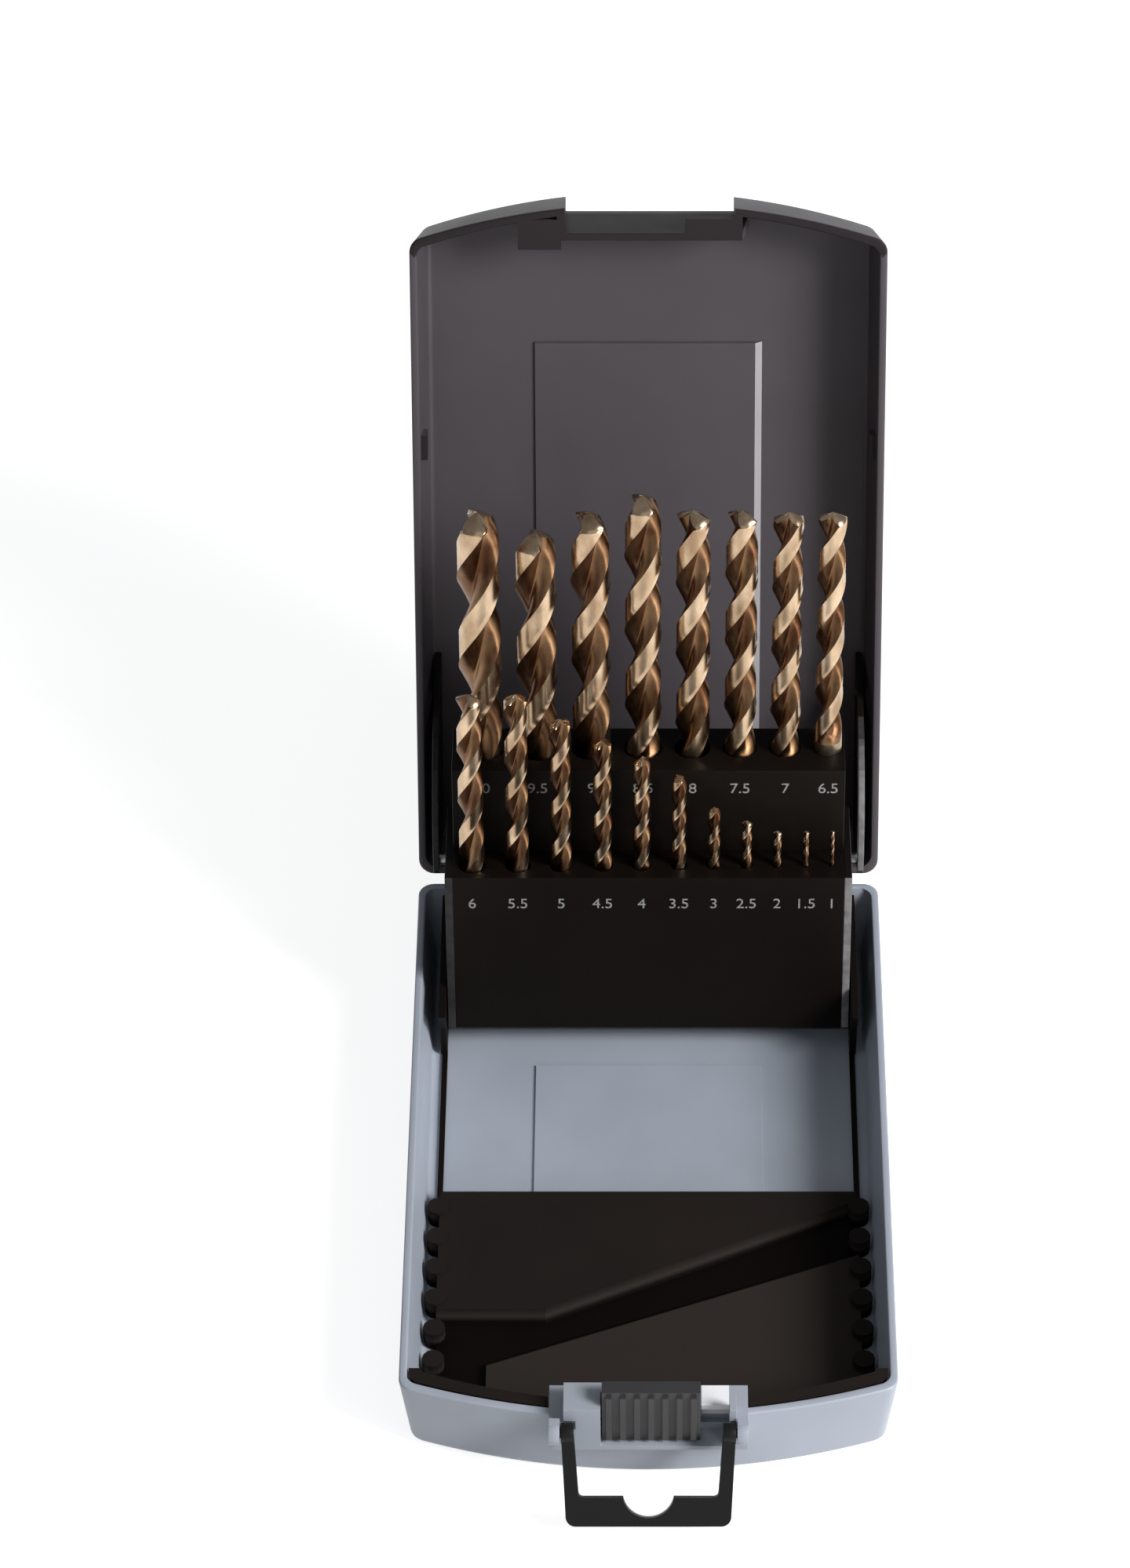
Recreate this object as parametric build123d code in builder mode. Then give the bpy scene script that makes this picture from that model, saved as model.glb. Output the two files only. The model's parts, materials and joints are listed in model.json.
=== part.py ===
from build123d import *
from math import ceil, cos, hypot, radians, sin, sqrt, tan
import os

# Drill bit case, standing open. Millimetres, +Z up, -Y is the latch side.
# The origin is the middle of the base's underside.

# ---- driving dimensions: the two shells --------------------------------
case_width = 110.0          # outer width over the rims
corner_length = 158.5       # hinge line to the front corners
front_sagitta = 9.0         # how far the curved front stands out in the middle
base_height = 22.0          # underside to the parting plane
lid_height = 18.5           # parting plane to the top of the closed lid
wall = 1.8
floor_thickness = 2.0
draft = 6.0                 # degrees, all side walls
corner_radius = 5.6         # upright corners in plan
least_corner = 1.0          # smallest radius of an inner corner
shell_edge = 1.9            # bevel all round the underside and the top
rim_gap = 0.15              # each rim stops this far from the parting plane
lid_opening = 112.0         # degrees between the closed and the open lid

# ---- driving dimensions: panels, stops and boss of the shells -----------
panel_half_width = 26.6
panel_rise = 0.8            # the lid's panel is pressed in by this much
lid_panel_low = 30.0        # along the lid from the hinge
lid_panel_high = 129.3
floor_panel_rise = 0.5
floor_panel_rear = 43.0     # forward of the hinge axis
side_stop_at = 105.0        # small stops on the lid's side walls
side_stop_length = 6.0
side_stop_height = 1.1
side_stop_depth = 5.0
boss_width = 10.8           # block in the lid beside the latch notch
boss_length = 8.0
boss_depth = 12.0

# ---- driving dimensions: the hinge --------------------------------------
rear_setback = 1.2          # rear walls stand this far in front of the hinge axis
knuckle_radius = 2.2
knuckle_relief = 0.35
knuckle_length = 15.0
knuckle_gap = 0.3           # along the axis, between neighbours
knuckle_count = 5
hinge_pin_radius = 1.0
pin_fit = 0.05              # radial running clearance of pins

# ---- driving dimensions: the drill holder -------------------------------
pivot_forward = 24.3        # holder pivot, forward of the hinge axis
holder_lean = 7.0           # degrees, how far the open holder leans back
front_face_reach = 12.2     # pivot to the holder's front face
front_face_foot = 9.6       # how far that face runs below the pivot
row_split_reach = 1.4       # pivot to the face between the two rows
front_block_top = 35.0      # above the pivot, along the drills
back_block_top = 58.0
swing_clearance = 0.3       # rounded foot of the holder to the case floor
cheek_thickness = 1.8
bracket_thickness = 1.6
cam_thickness = 1.5
side_gap = 0.3              # between cheek, bracket and cam plate
cam_wall_gap = 0.1          # cam plate to the foot of the base's side wall
pivot_pin_radius = 2.0
pivot_pin_seat = 3.0        # how far the pivot pins reach into the back block
follower_radius = 1.4
follower_back = 16.0        # follower pin behind the pivot, across the drills
follower_up = 19.0          # follower pin above the pivot, along the drills
slot_clearance = 0.12
slot_margin = 2.1           # plate left beside the cam slot
ear_sides = 12              # facets of the plate round each place of the follower
cam_path_steps = 8
cam_foot_rear = 7.0         # where the cam plate stands on the lid, along it
cam_foot_front = 52.0
cam_foot_height = 1.0
bracket_foot_front = 39.0   # bracket's front edge on the floor, forward of the hinge
bracket_knee_front = 41.0   # the same at its knee
bracket_knee_drop = 9.0     # knee below the hinge axis
bracket_top_front = 46.0    # the same at the rim
bracket_eye = 1.6           # least plate left round the pivot pin

# ---- driving dimensions: the drills -------------------------------------
small_drills = [            # diameter, overall length, flute length
    (6.0, 93.0, 57.0), (5.5, 93.0, 57.0), (5.0, 86.0, 52.0), (4.5, 80.0, 47.0),
    (4.0, 75.0, 43.0), (3.5, 70.0, 39.0), (3.0, 61.0, 33.0), (2.5, 57.0, 30.0),
    (2.0, 49.0, 24.0), (1.5, 40.0, 18.0), (1.0, 34.0, 12.0),
]
large_drills = [            # and how far the point stands over its neighbours
    (10.0, 133.0, 87.0, 0.0), (9.5, 125.0, 81.0, -5.5), (9.0, 125.0, 81.0, 0.0),
    (8.5, 117.0, 75.0, 4.5), (8.0, 117.0, 75.0, 0.5), (7.5, 109.0, 69.0, 0.5),
    (7.0, 109.0, 69.0, 0.0), (6.5, 101.0, 63.0, 0.0),
]
hole_fit = 0.15             # radial clearance of a drill in its hole
hole_sides = 16
hole_run_out = 1.0          # the hole's tool leaves the block's top by this much
seat_gap = 0.1              # under a drill's end
small_row_reach = 7.2       # pivot to the small row's plane, forward
large_row_reach = 7.6       # pivot to the large row's plane, backward
small_margin_left = 4.5     # block's end to the 6 mm drill's axis
small_margin_right = 2.9    # block's end to the 1 mm drill's axis
large_margin_left = 6.9     # block's end to the 10 mm drill's axis
large_margin_right = 3.9    # block's end to the 6.5 mm drill's axis
small_seat = -9.0           # lowest seat of the small row, along the drills from the pivot
small_stand_out = 10.0      # the shortest drills still show this much
large_tip_level = 124.0     # points of the large drills end about here
large_seat = -11.0          # lowest seat of the large row
shank_sides = 16
flute_pitch_ratio = 5.4     # pitch of the flutes over the diameter
flute_step = 50.0           # degrees of twist between two rings of facets
flute_land = 38.0           # half angle of a land
flute_valley = 15.0         # half angle of a flute's bottom
flute_relief = 0.04         # the flutes' lands stand this far inside the shank
flute_overlap = 0.4         # the twisted part starts inside the shank
web_ratio = 0.46            # web half thickness over the radius
point_angle = 130.0

# ---- driving dimensions: the tip tray ------------------------------------
tray_rear = 86.8            # forward of the hinge axis
tray_plate = 1.2
tray_lip = 2.6              # thickness of the front lip
tray_clearance = 0.3
rear_step_height = 4.4      # rear terrace over the case floor
rear_step_right = 89.6      # its slanted edge, forward of the hinge axis, right side
rear_step_left = 122.5      # and left side
rear_step_bend = -23.3      # x where the slanted edge turns straight
rear_step_run = 1.6         # length of its slope
front_step_height = 2.8     # front terrace over the case floor
front_step_right = 105.0
front_step_left = 138.0
front_step_side = -36.4     # x of its left side
front_step_run = 2.0
lug_radius = 2.5
lug_sides = 12
lug_pitch = 9.2
lug_count = 6
lug_first = 91.6            # forward of the hinge axis
lug_height = 4.9            # over the case floor
lug_sink = 0.1              # share of its radius that a lug stands out of the tray

# ---- driving dimensions: latch and handle --------------------------------
notch_left = -19.2
notch_right = 19.8
notch_depth = 6.9
tongue_left = 8.4
tongue_thickness = 2.8
housing_half_width = 21.8
housing_bottom = 13.0
housing_top = 26.5
housing_bulge = 1.6         # housing's face in front of the case
flange_reach = 3.0          # flange under the lid's rim, behind the housing
flange_thickness = 3.0
latch_gap = 0.6
slider_left = -10.2
slider_width = 21.6
slider_travel = 6.0
slider_gap = 0.3
slider_recess = 0.6         # slider's ribs behind the housing's face
slider_bottom = 14.6
slider_top = 30.4
slider_depth = 4.9          # housing's face to the slider's back
slider_rib_count = 7
slider_rib_width = 1.3
slider_rib_depth = 0.9
hook_width = 11.6
hook_thickness = 2.4
rail_depth = 1.8
rail_half_height = 1.6
rail_flare = 1.0
handle_pivot_z = 21.2
handle_pivot_ahead = 2.1    # pivot in front of the housing's face
handle_length = 20.5
handle_half_width = 19.1
handle_end_half_width = 18.0
handle_arm = 2.8
handle_thickness = 2.6
handle_bar = 6.4
handle_corner = 2.2         # rounded outer corners
handle_notch_radius = 5.6
handle_notch_inset = 1.0    # notch centre above the bar's edge
handle_droop = 52.0
handle_stud_radius = 1.1
handle_stud_length = 1.5
handle_hub_radius = 2.3

# ---- places worked out from the sizes above ------------------------------
hinge_y = (corner_length + front_sagitta) / 2
hinge_z = base_height
half_width = case_width / 2
front_y = hinge_y - corner_length - front_sagitta     # middle of the curved front
lid_lean = lid_opening - 90
holder_swing = 90 + holder_lean
foot_radius = hypot(front_face_reach, front_face_foot)
pivot_y = hinge_y - pivot_forward
pivot_z = floor_thickness + swing_clearance + foot_radius
pivot_drop = hinge_z - pivot_z
base_rim_z = base_height - rim_gap


def draft_inset(depth):
    """How far a drafted wall has moved in, at a depth from its rim."""
    return depth * tan(radians(draft))


floor_half_width = half_width - wall - draft_inset(base_rim_z - floor_thickness)
cam_outer_x = floor_half_width - cam_wall_gap
cam_x = cam_outer_x - cam_thickness
bracket_x = cam_x - side_gap - bracket_thickness
cheek_x = bracket_x - side_gap - cheek_thickness
block_half_width = cheek_x

base_plan = Plane((0, hinge_y, 0), x_dir=(1, 0, 0), z_dir=(0, 0, 1))
base_side = Plane((0, hinge_y, hinge_z), x_dir=(0, 1, 0), z_dir=(1, 0, 0))
lid_along = Vector(0, sin(radians(lid_lean)), cos(radians(lid_lean)))
lid_inward = Vector(0, -cos(radians(lid_lean)), sin(radians(lid_lean)))
lid_plan = Plane((0, hinge_y, hinge_z), x_dir=(1, 0, 0), z_dir=lid_inward)
lid_side = Plane((0, hinge_y, hinge_z), x_dir=lid_along, z_dir=(1, 0, 0))
drill_up = Vector(0, sin(radians(holder_lean)), cos(radians(holder_lean)))
holder_rear = Vector(0, cos(radians(holder_lean)), -sin(radians(holder_lean)))
holder_plan = Plane((0, pivot_y, pivot_z), x_dir=(1, 0, 0), z_dir=drill_up)
holder_side = Plane((0, pivot_y, pivot_z), x_dir=holder_rear, z_dir=(1, 0, 0))
front_side = Plane.YZ

os.makedirs("parts", exist_ok=True)


def save(part, name):
    part.part.label = name
    export_step(part.part, f"parts/{name}.step")


def case_outline(inset=0.0, direction=-1):
    """Plan of the case in the current sketch: straight sides, a curved front.

    direction is -1 where the case runs towards the sketch's -Y, else +1."""
    side = half_width - inset
    back = direction * (rear_setback + inset)
    corner = direction * (corner_length - inset)
    middle = direction * (corner_length + front_sagitta - inset)
    with BuildLine() as line:
        Line((-side, corner), (-side, back))
        Line((-side, back), (side, back))
        Line((side, back), (side, corner))
        ThreePointArc((side, corner), (0, middle), (-side, corner))
    make_face(line.edges())
    fillet(line.vertices(), max(corner_radius - inset, least_corner))


def block_between(x_from, x_to, y_from, y_to, mode=Mode.ADD):
    """A rectangle in the current sketch, given by its sides."""
    with Locations(((x_from + x_to) / 2, (y_from + y_to) / 2)):
        Rectangle(abs(x_to - x_from), abs(y_to - y_from), mode=mode)


def knuckle_start(index):
    run = knuckle_count * knuckle_length + (knuckle_count - 1) * knuckle_gap
    return -run / 2 + index * (knuckle_length + knuckle_gap)


def hinge_half(side, own):
    """Cut one shell's reliefs, give it its own knuckles and bore them."""
    for index in range(knuckle_count):
        if index % 2 != own:
            start = knuckle_start(index) - knuckle_gap
            with BuildSketch(side.offset(start)) as relief:
                Circle(knuckle_radius + knuckle_relief)
            extrude(relief.sketch, amount=knuckle_length + 2 * knuckle_gap, mode=Mode.SUBTRACT)
    for index in range(knuckle_count):
        if index % 2 == own:
            with BuildSketch(side.offset(knuckle_start(index))) as knuckle:
                Circle(knuckle_radius)
            extrude(knuckle.sketch, amount=knuckle_length)
    with BuildSketch(side) as bore:
        Circle(hinge_pin_radius + pin_fit)
    extrude(bore.sketch, amount=half_width, both=True, mode=Mode.SUBTRACT)


# ---- base shell ----------------------------------------------------------
housing_front_y = front_y - housing_bulge
housing_rear_y = front_y + notch_depth - latch_gap
slider_back_y = housing_front_y + slider_depth
tongue_reach = front_y + notch_depth - slider_back_y - slider_gap

with BuildPart() as base_shell:
    with BuildSketch(base_plan.offset(base_rim_z)):
        case_outline()
    extrude(amount=-base_rim_z, taper=draft)
    chamfer(base_shell.edges().group_by(Axis.Z)[0], shell_edge)
    with BuildSketch(base_plan.offset(base_rim_z)):
        case_outline(wall)
    extrude(amount=floor_thickness - base_rim_z, taper=draft, mode=Mode.SUBTRACT)
    with BuildSketch(base_plan.offset(floor_thickness)):
        block_between(-panel_half_width, panel_half_width,
                      tray_clearance - tray_rear, -floor_panel_rear)
    extrude(amount=floor_panel_rise)
    with BuildSketch(Plane.XY.offset(housing_bottom)):
        block_between(-housing_half_width, housing_half_width, housing_front_y, housing_rear_y)
    extrude(amount=base_height, mode=Mode.SUBTRACT)
    hinge_half(base_side, 0)
save(base_shell, "base_shell")

# ---- lid shell, drawn open -------------------------------------------------
lid_plate_inner = lid_height - floor_thickness
lid_middle = corner_length + front_sagitta
notch_floor = lid_middle - notch_depth


def lid_cavity():
    """Plan of the lid's inside in the current sketch, clear of the latch notch."""
    case_outline(wall, direction=1)
    block_between(notch_left - wall, notch_right + wall, notch_floor - wall, lid_middle + wall,
                  mode=Mode.SUBTRACT)


with BuildPart() as lid_shell:
    with BuildSketch(lid_plan.offset(-rim_gap)):
        case_outline(direction=1)
    extrude(amount=rim_gap - lid_height, taper=draft)
    far_face = lid_shell.faces().sort_by(Axis((0, hinge_y, hinge_z), tuple(lid_inward)))[0]
    chamfer(far_face.edges(), shell_edge)
    with BuildSketch(lid_plan.offset(-rim_gap)):
        lid_cavity()
    extrude(amount=rim_gap - lid_plate_inner, taper=draft, mode=Mode.SUBTRACT)
    for level, mode in ((-lid_plate_inner, Mode.ADD), (-lid_height, Mode.SUBTRACT)):
        with BuildSketch(lid_plan.offset(level)):
            block_between(-panel_half_width, panel_half_width, lid_panel_low, lid_panel_high)
        extrude(amount=panel_rise, mode=mode)
    with BuildSketch(lid_plan.offset(-rim_gap)):
        case_outline(wall / 2, direction=1)
        block_between(notch_left - boss_width, notch_left, notch_floor - boss_length / 2,
                      notch_floor + boss_length / 2, mode=Mode.INTERSECT)
    extrude(amount=-boss_depth)
    stop_foot = wall / 2 + draft_inset(side_stop_depth)
    stop_reach = wall + draft_inset(side_stop_depth) + side_stop_height
    with BuildSketch(lid_plan.offset(-2 * side_stop_height)):
        for side in (-1, 1):
            block_between(side * (half_width - stop_foot), side * (half_width - stop_reach),
                          side_stop_at, side_stop_at + side_stop_length)
    extrude(amount=-side_stop_depth)
    with BuildSketch(lid_plan.offset(-lid_height)):
        block_between(notch_left, notch_right, notch_floor, lid_middle + notch_depth)
    extrude(amount=lid_height, mode=Mode.SUBTRACT)
    with BuildSketch(lid_plan.offset(-rim_gap)):
        block_between(tongue_left, notch_right, notch_floor, notch_floor + tongue_reach)
    extrude(amount=-tongue_thickness)
    hinge_half(lid_side, 1)
save(lid_shell, "lid_shell")

# ---- hinge pin -------------------------------------------------------------
with BuildPart() as hinge_pin:
    with BuildSketch(base_side):
        Circle(hinge_pin_radius)
    extrude(amount=-knuckle_start(0), both=True)
save(hinge_pin, "hinge_pin")

# ---- tip tray: black insert in the front of the base ------------------------
tray_top = base_rim_z - tray_clearance
deck_top = floor_thickness + tray_plate
tray_top_inset = wall + tray_clearance + draft_inset(base_rim_z - tray_top)
lip_rear = corner_length - corner_radius
lug_x = floor_half_width - tray_clearance - lug_radius
tray_half_width = floor_half_width - tray_clearance - lug_radius * (1 + lug_sink)
flange_rear_y = housing_rear_y + flange_reach
flange_bottom = base_height - flange_thickness


def terrace(height, run, points):
    """Foot and top of a raised part of the tray, given by the corners of its top.

    At the foot the corners marked with 1 stand further out by the run of the slope."""
    for level, shift in ((deck_top, run), (floor_thickness + height, 0.0)):
        with BuildSketch(base_plan.offset(level)) as step:
            with BuildLine() as line:
                Polyline(*[(x, y + shift * slopes) for x, y, slopes in points], close=True)
            make_face(line.edges())
        yield step.sketch


with BuildPart() as tip_tray:
    with BuildSketch(base_plan.offset(tray_top)):
        case_outline(tray_top_inset)
        block_between(-half_width, half_width, -lip_rear, 0, mode=Mode.SUBTRACT)
    extrude(amount=floor_thickness - tray_top, taper=draft)
    with BuildSketch(base_plan.offset(tray_top)):
        case_outline(tray_top_inset + tray_lip)
    extrude(amount=deck_top - tray_top, taper=draft, mode=Mode.SUBTRACT)
    with BuildSketch(base_plan.offset(floor_thickness)):
        block_between(-tray_half_width, tray_half_width, -lip_rear - tray_lip, -tray_rear)
    extrude(amount=tray_plate)
    loft(list(terrace(rear_step_height, -rear_step_run, (
        (-tray_half_width, -tray_rear, 0), (tray_half_width, -tray_rear, 0),
        (tray_half_width, -rear_step_right, 1), (rear_step_bend, -rear_step_left, 1),
        (-tray_half_width, -rear_step_left, 1),
    ))), ruled=True)
    loft(list(terrace(front_step_height, front_step_run, (
        (front_step_side, -front_step_left, 1), (tray_half_width, -front_step_right, 1),
        (tray_half_width, -lip_rear - tray_lip, 0), (front_step_side, -lip_rear - tray_lip, 0),
    ))), ruled=True)
    with BuildSketch(base_plan.offset(floor_thickness)):
        with Locations((0, -lug_first - (lug_count - 1) * lug_pitch / 2)):
            with GridLocations(2 * lug_x, lug_pitch, 2, lug_count):
                RegularPolygon(lug_radius, lug_sides)
    extrude(amount=lug_height)
    with BuildSketch(Plane.XY.offset(housing_bottom - tray_clearance)):
        block_between(-housing_half_width - tray_clearance, housing_half_width + tray_clearance,
                      housing_front_y, flange_rear_y + tray_clearance)
    extrude(amount=base_height, mode=Mode.SUBTRACT)
save(tip_tray, "tip_tray")

# ---- latch housing ------------------------------------------------------------
handle_pivot_y = housing_front_y - handle_pivot_ahead
tower_left = notch_left + latch_gap
tower_right = notch_right - latch_gap
slider_right = slider_left + slider_width
slider_front_y = housing_front_y + slider_recess
tongue_top_z = hinge_z + rim_gap + tongue_thickness
hook_z = tongue_top_z + slider_gap
hook_right = tongue_left - latch_gap
hook_left = hook_right - hook_width
hook_rear_y = housing_rear_y - latch_gap
rail_z = (slider_bottom + hinge_z) / 2
ear_inner = handle_half_width + side_gap
ear_radius = handle_hub_radius + side_gap


def rail_outline(gap=0.0):
    """Dovetail rail at the back of the slider, in a side view."""
    mouth = slider_back_y - gap
    back = slider_back_y + rail_depth + gap
    low = rail_half_height + gap
    high = low + rail_flare
    with BuildLine() as line:
        Polyline((mouth, rail_z - low), (back, rail_z - high), (back, rail_z + high),
                 (mouth, rail_z + low), close=True)
    make_face(line.edges())


with BuildPart() as latch_housing:
    with BuildSketch(Plane.XY.offset(housing_bottom)):
        block_between(-housing_half_width, housing_half_width, housing_front_y, housing_rear_y)
    extrude(amount=base_height - housing_bottom)
    with BuildSketch(Plane.XY.offset(flange_bottom)):
        block_between(-housing_half_width, housing_half_width, housing_rear_y, flange_rear_y)
    extrude(amount=base_height - flange_bottom)
    with BuildSketch(Plane.XY.offset(base_height)):
        block_between(tower_left, tower_right, housing_front_y, housing_rear_y)
    extrude(amount=housing_top - base_height)
    with BuildSketch(Plane.XY.offset(base_height)):
        block_between(tongue_left - latch_gap, housing_half_width,
                      housing_rear_y - tongue_reach, housing_rear_y)
    extrude(amount=base_height, mode=Mode.SUBTRACT)
    for side in (-1, 1):
        with BuildSketch(front_side.offset(side * ear_inner)):
            with Locations((handle_pivot_y, handle_pivot_z)):
                Circle(ear_radius)
            block_between(handle_pivot_y, housing_front_y,
                          handle_pivot_z - ear_radius, handle_pivot_z + ear_radius)
        extrude(amount=side * (housing_half_width - ear_inner))
        with BuildSketch(front_side.offset(side * (handle_half_width - handle_arm - side_gap))):
            with Locations((handle_pivot_y, handle_pivot_z)):
                Circle(ear_radius)
        extrude(amount=side * (handle_arm + 2 * side_gap), mode=Mode.SUBTRACT)
    with BuildSketch(front_side):
        with Locations((handle_pivot_y, handle_pivot_z)):
            Circle(handle_stud_radius + pin_fit)
    extrude(amount=housing_half_width, both=True, mode=Mode.SUBTRACT)
    with BuildSketch(Plane.XY.offset(slider_bottom - slider_gap)):
        block_between(slider_left - slider_gap, slider_right + slider_travel + slider_gap,
                      housing_front_y - slider_gap, slider_back_y + slider_gap)
    extrude(amount=housing_top, mode=Mode.SUBTRACT)
    with BuildSketch(front_side.offset(slider_left - slider_gap)):
        rail_outline(slider_gap)
    extrude(amount=slider_width + slider_travel + 2 * slider_gap, mode=Mode.SUBTRACT)
    with BuildSketch(Plane.XY.offset(hook_z - slider_gap)):
        block_between(hook_left - slider_gap, hook_right + slider_travel + slider_gap,
                      slider_back_y, housing_rear_y)
    extrude(amount=hook_thickness + 2 * slider_gap, mode=Mode.SUBTRACT)
save(latch_housing, "latch_housing")

# ---- latch slider: ribbed thumb piece with the hook ------------------------------
rib_front_y = slider_front_y
rib_back_y = slider_front_y + slider_rib_depth
rib_spacing = slider_width / slider_rib_count

with BuildPart() as latch_slider:
    with BuildSketch(Plane.XY.offset(slider_bottom)):
        block_between(slider_left, slider_right, rib_back_y, slider_back_y)
    extrude(amount=slider_top - slider_bottom)
    with BuildSketch(Plane.XY.offset(slider_bottom + slider_rib_depth)):
        with Locations(((slider_left + slider_right) / 2, (rib_front_y + rib_back_y) / 2)):
            with GridLocations(rib_spacing, slider_rib_depth, slider_rib_count, 1):
                Rectangle(slider_rib_width, slider_rib_depth)
    extrude(amount=slider_top - slider_bottom - 2 * slider_rib_depth)
    with BuildSketch(front_side.offset(slider_left)):
        rail_outline()
    extrude(amount=slider_width)
    with BuildSketch(Plane.XY.offset(hook_z)):
        block_between(hook_left, hook_right, slider_back_y, hook_rear_y)
    extrude(amount=hook_thickness)
save(latch_slider, "latch_slider")

# ---- carry handle, drawn drooping forward -----------------------------------------
droop = radians(handle_droop)
handle_plan = Plane((0, handle_pivot_y, handle_pivot_z), x_dir=(1, 0, 0),
                    z_dir=(0, -sin(droop), cos(droop)))
window_end = handle_bar - handle_length
window_half = handle_half_width - handle_arm
window_end_half = handle_end_half_width - handle_arm


def bail_outline(half, end_half, end):
    """Tapered shape of the handle from its pivot to its end, in the current sketch."""
    with BuildLine() as line:
        Polyline((-half, 0), (-end_half, end), (end_half, end), (half, 0), close=True)
    make_face(line.edges())


with BuildPart() as carry_handle:
    with BuildSketch(handle_plan) as bail:
        bail_outline(handle_half_width, handle_end_half_width, -handle_length)
        fillet(bail.vertices().group_by(Axis.Y)[0], handle_corner)
    extrude(amount=handle_thickness / 2, both=True)
    with BuildSketch(handle_plan) as window:
        bail_outline(window_half, window_end_half, window_end)
        fillet(window.vertices().group_by(Axis.Y)[0], handle_corner / 2)
        with Locations((0, window_end + handle_notch_inset)):
            Circle(handle_notch_radius)
    extrude(amount=handle_thickness / 2, both=True, mode=Mode.SUBTRACT)
    for side in (-1, 1):
        with BuildSketch(front_side.offset(side * window_half)):
            with Locations((handle_pivot_y, handle_pivot_z)):
                Circle(handle_hub_radius)
        extrude(amount=side * handle_arm)
        with BuildSketch(front_side.offset(side * handle_half_width)):
            with Locations((handle_pivot_y, handle_pivot_z)):
                Circle(handle_stud_radius)
        extrude(amount=side * handle_stud_length)
save(carry_handle, "carry_handle")

# ---- drill holder: two blocks between two cheeks ------------------------------------
# Its side view is drawn from the pivot: first number to the rear, second along the drills.
lean = radians(holder_lean)
rear_room = pivot_forward - rear_setback - wall - draft_inset(pivot_drop) - swing_clearance
foot_low = (foot_radius * sin(lean), -foot_radius * cos(lean))
foot_run = sqrt(rear_room ** 2 - foot_radius ** 2)
back_face_reach = foot_low[0] + foot_run * cos(lean)
foot_heel = (back_face_reach, foot_low[1] + foot_run * sin(lean))


def foot_at(across):
    """Height of the rounded foot at a distance in front of the pivot."""
    return -sqrt(foot_radius ** 2 - across ** 2)


def front_profile(top):
    """Side view of the holder in front of the split, up to a height."""
    middle = -(front_face_reach + row_split_reach) / 2
    with BuildLine() as line:
        Polyline((-row_split_reach, foot_at(row_split_reach)), (-row_split_reach, top),
                 (-front_face_reach, top), (-front_face_reach, -front_face_foot))
        ThreePointArc((-front_face_reach, -front_face_foot), (middle, foot_at(middle)),
                      (-row_split_reach, foot_at(row_split_reach)))
    make_face(line.edges())


def back_profile(top):
    """Side view of the holder behind the split, up to a height."""
    with BuildLine() as line:
        ThreePointArc((-row_split_reach, foot_at(row_split_reach)), (0, -foot_radius), foot_low)
        Polyline(foot_low, foot_heel, (back_face_reach, top), (-row_split_reach, top),
                 (-row_split_reach, foot_at(row_split_reach)))
    make_face(line.edges())


def spread(diameters, first, last):
    """Places of a row between its two end axes, with equal gaps between the drills."""
    pitches = [(one + other) / 2 for one, other in zip(diameters, diameters[1:])]
    gap = (last - first - sum(pitches)) / len(pitches)
    places = [first]
    for pitch in pitches:
        places.append(places[-1] + pitch + gap)
    return places


def small_seat_of(length):
    return max(small_seat, front_block_top + small_stand_out - length)


def large_seat_of(length, rise):
    return max(large_seat, large_tip_level + rise - length)


small_row = [
    (diameter, length, flute, x, -small_row_reach, small_seat_of(length))
    for (diameter, length, flute), x in zip(small_drills, spread(
        [drill[0] for drill in small_drills], small_margin_left - block_half_width,
        block_half_width - small_margin_right))
]
large_row = [
    (diameter, length, flute, x, large_row_reach, large_seat_of(length, rise))
    for (diameter, length, flute, rise), x in zip(large_drills, spread(
        [drill[0] for drill in large_drills], large_margin_left - block_half_width,
        block_half_width - large_margin_right))
]


def drill_holes(row, top):
    for diameter, length, flute, x, rear, seat in row:
        with BuildSketch(holder_plan.offset(seat - seat_gap)) as bore:
            with Locations((x, rear)):
                RegularPolygon(diameter / 2 + hole_fit, hole_sides, major_radius=False)
        extrude(bore.sketch, amount=top - seat + hole_run_out, mode=Mode.SUBTRACT)


with BuildPart() as front_row_block:
    with BuildSketch(holder_side):
        front_profile(front_block_top)
    extrude(amount=block_half_width, both=True)
    drill_holes(small_row, front_block_top)
    with BuildSketch(holder_side):
        Circle(pivot_pin_radius)
    extrude(amount=block_half_width, both=True, mode=Mode.SUBTRACT)
save(front_row_block, "front_row_block")

pivot_pin_inner = block_half_width - pivot_pin_seat
with BuildPart() as back_row_block:
    with BuildSketch(holder_side):
        back_profile(back_block_top)
    extrude(amount=block_half_width, both=True)
    drill_holes(large_row, back_block_top)
    for side in (-1, 1):
        with BuildSketch(holder_side.offset(side * pivot_pin_inner)):
            Circle(pivot_pin_radius)
        extrude(amount=side * pivot_pin_seat, mode=Mode.SUBTRACT)
save(back_row_block, "back_row_block")

# ---- the holder's sides: cheeks, brackets, cam plates and their pins ------------------
follower_ear = follower_radius + slot_margin


def turned(y, z, angle):
    """A point turned about the origin in the side view, by degrees."""
    turn = radians(angle)
    return y * cos(turn) - z * sin(turn), y * sin(turn) + z * cos(turn)


def follower_in_lid(progress):
    """The follower pin in the lid's own side view, open at 0 and closed at 1."""
    offset = turned(follower_back, follower_up, holder_swing * progress - holder_lean)
    at_hinge = (offset[0] - pivot_forward, offset[1] - pivot_drop)
    y, z = turned(*at_hinge, -lid_opening * progress)
    return (y * lid_along.Y + z * lid_along.Z, y * lid_inward.Y + z * lid_inward.Z)


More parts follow.
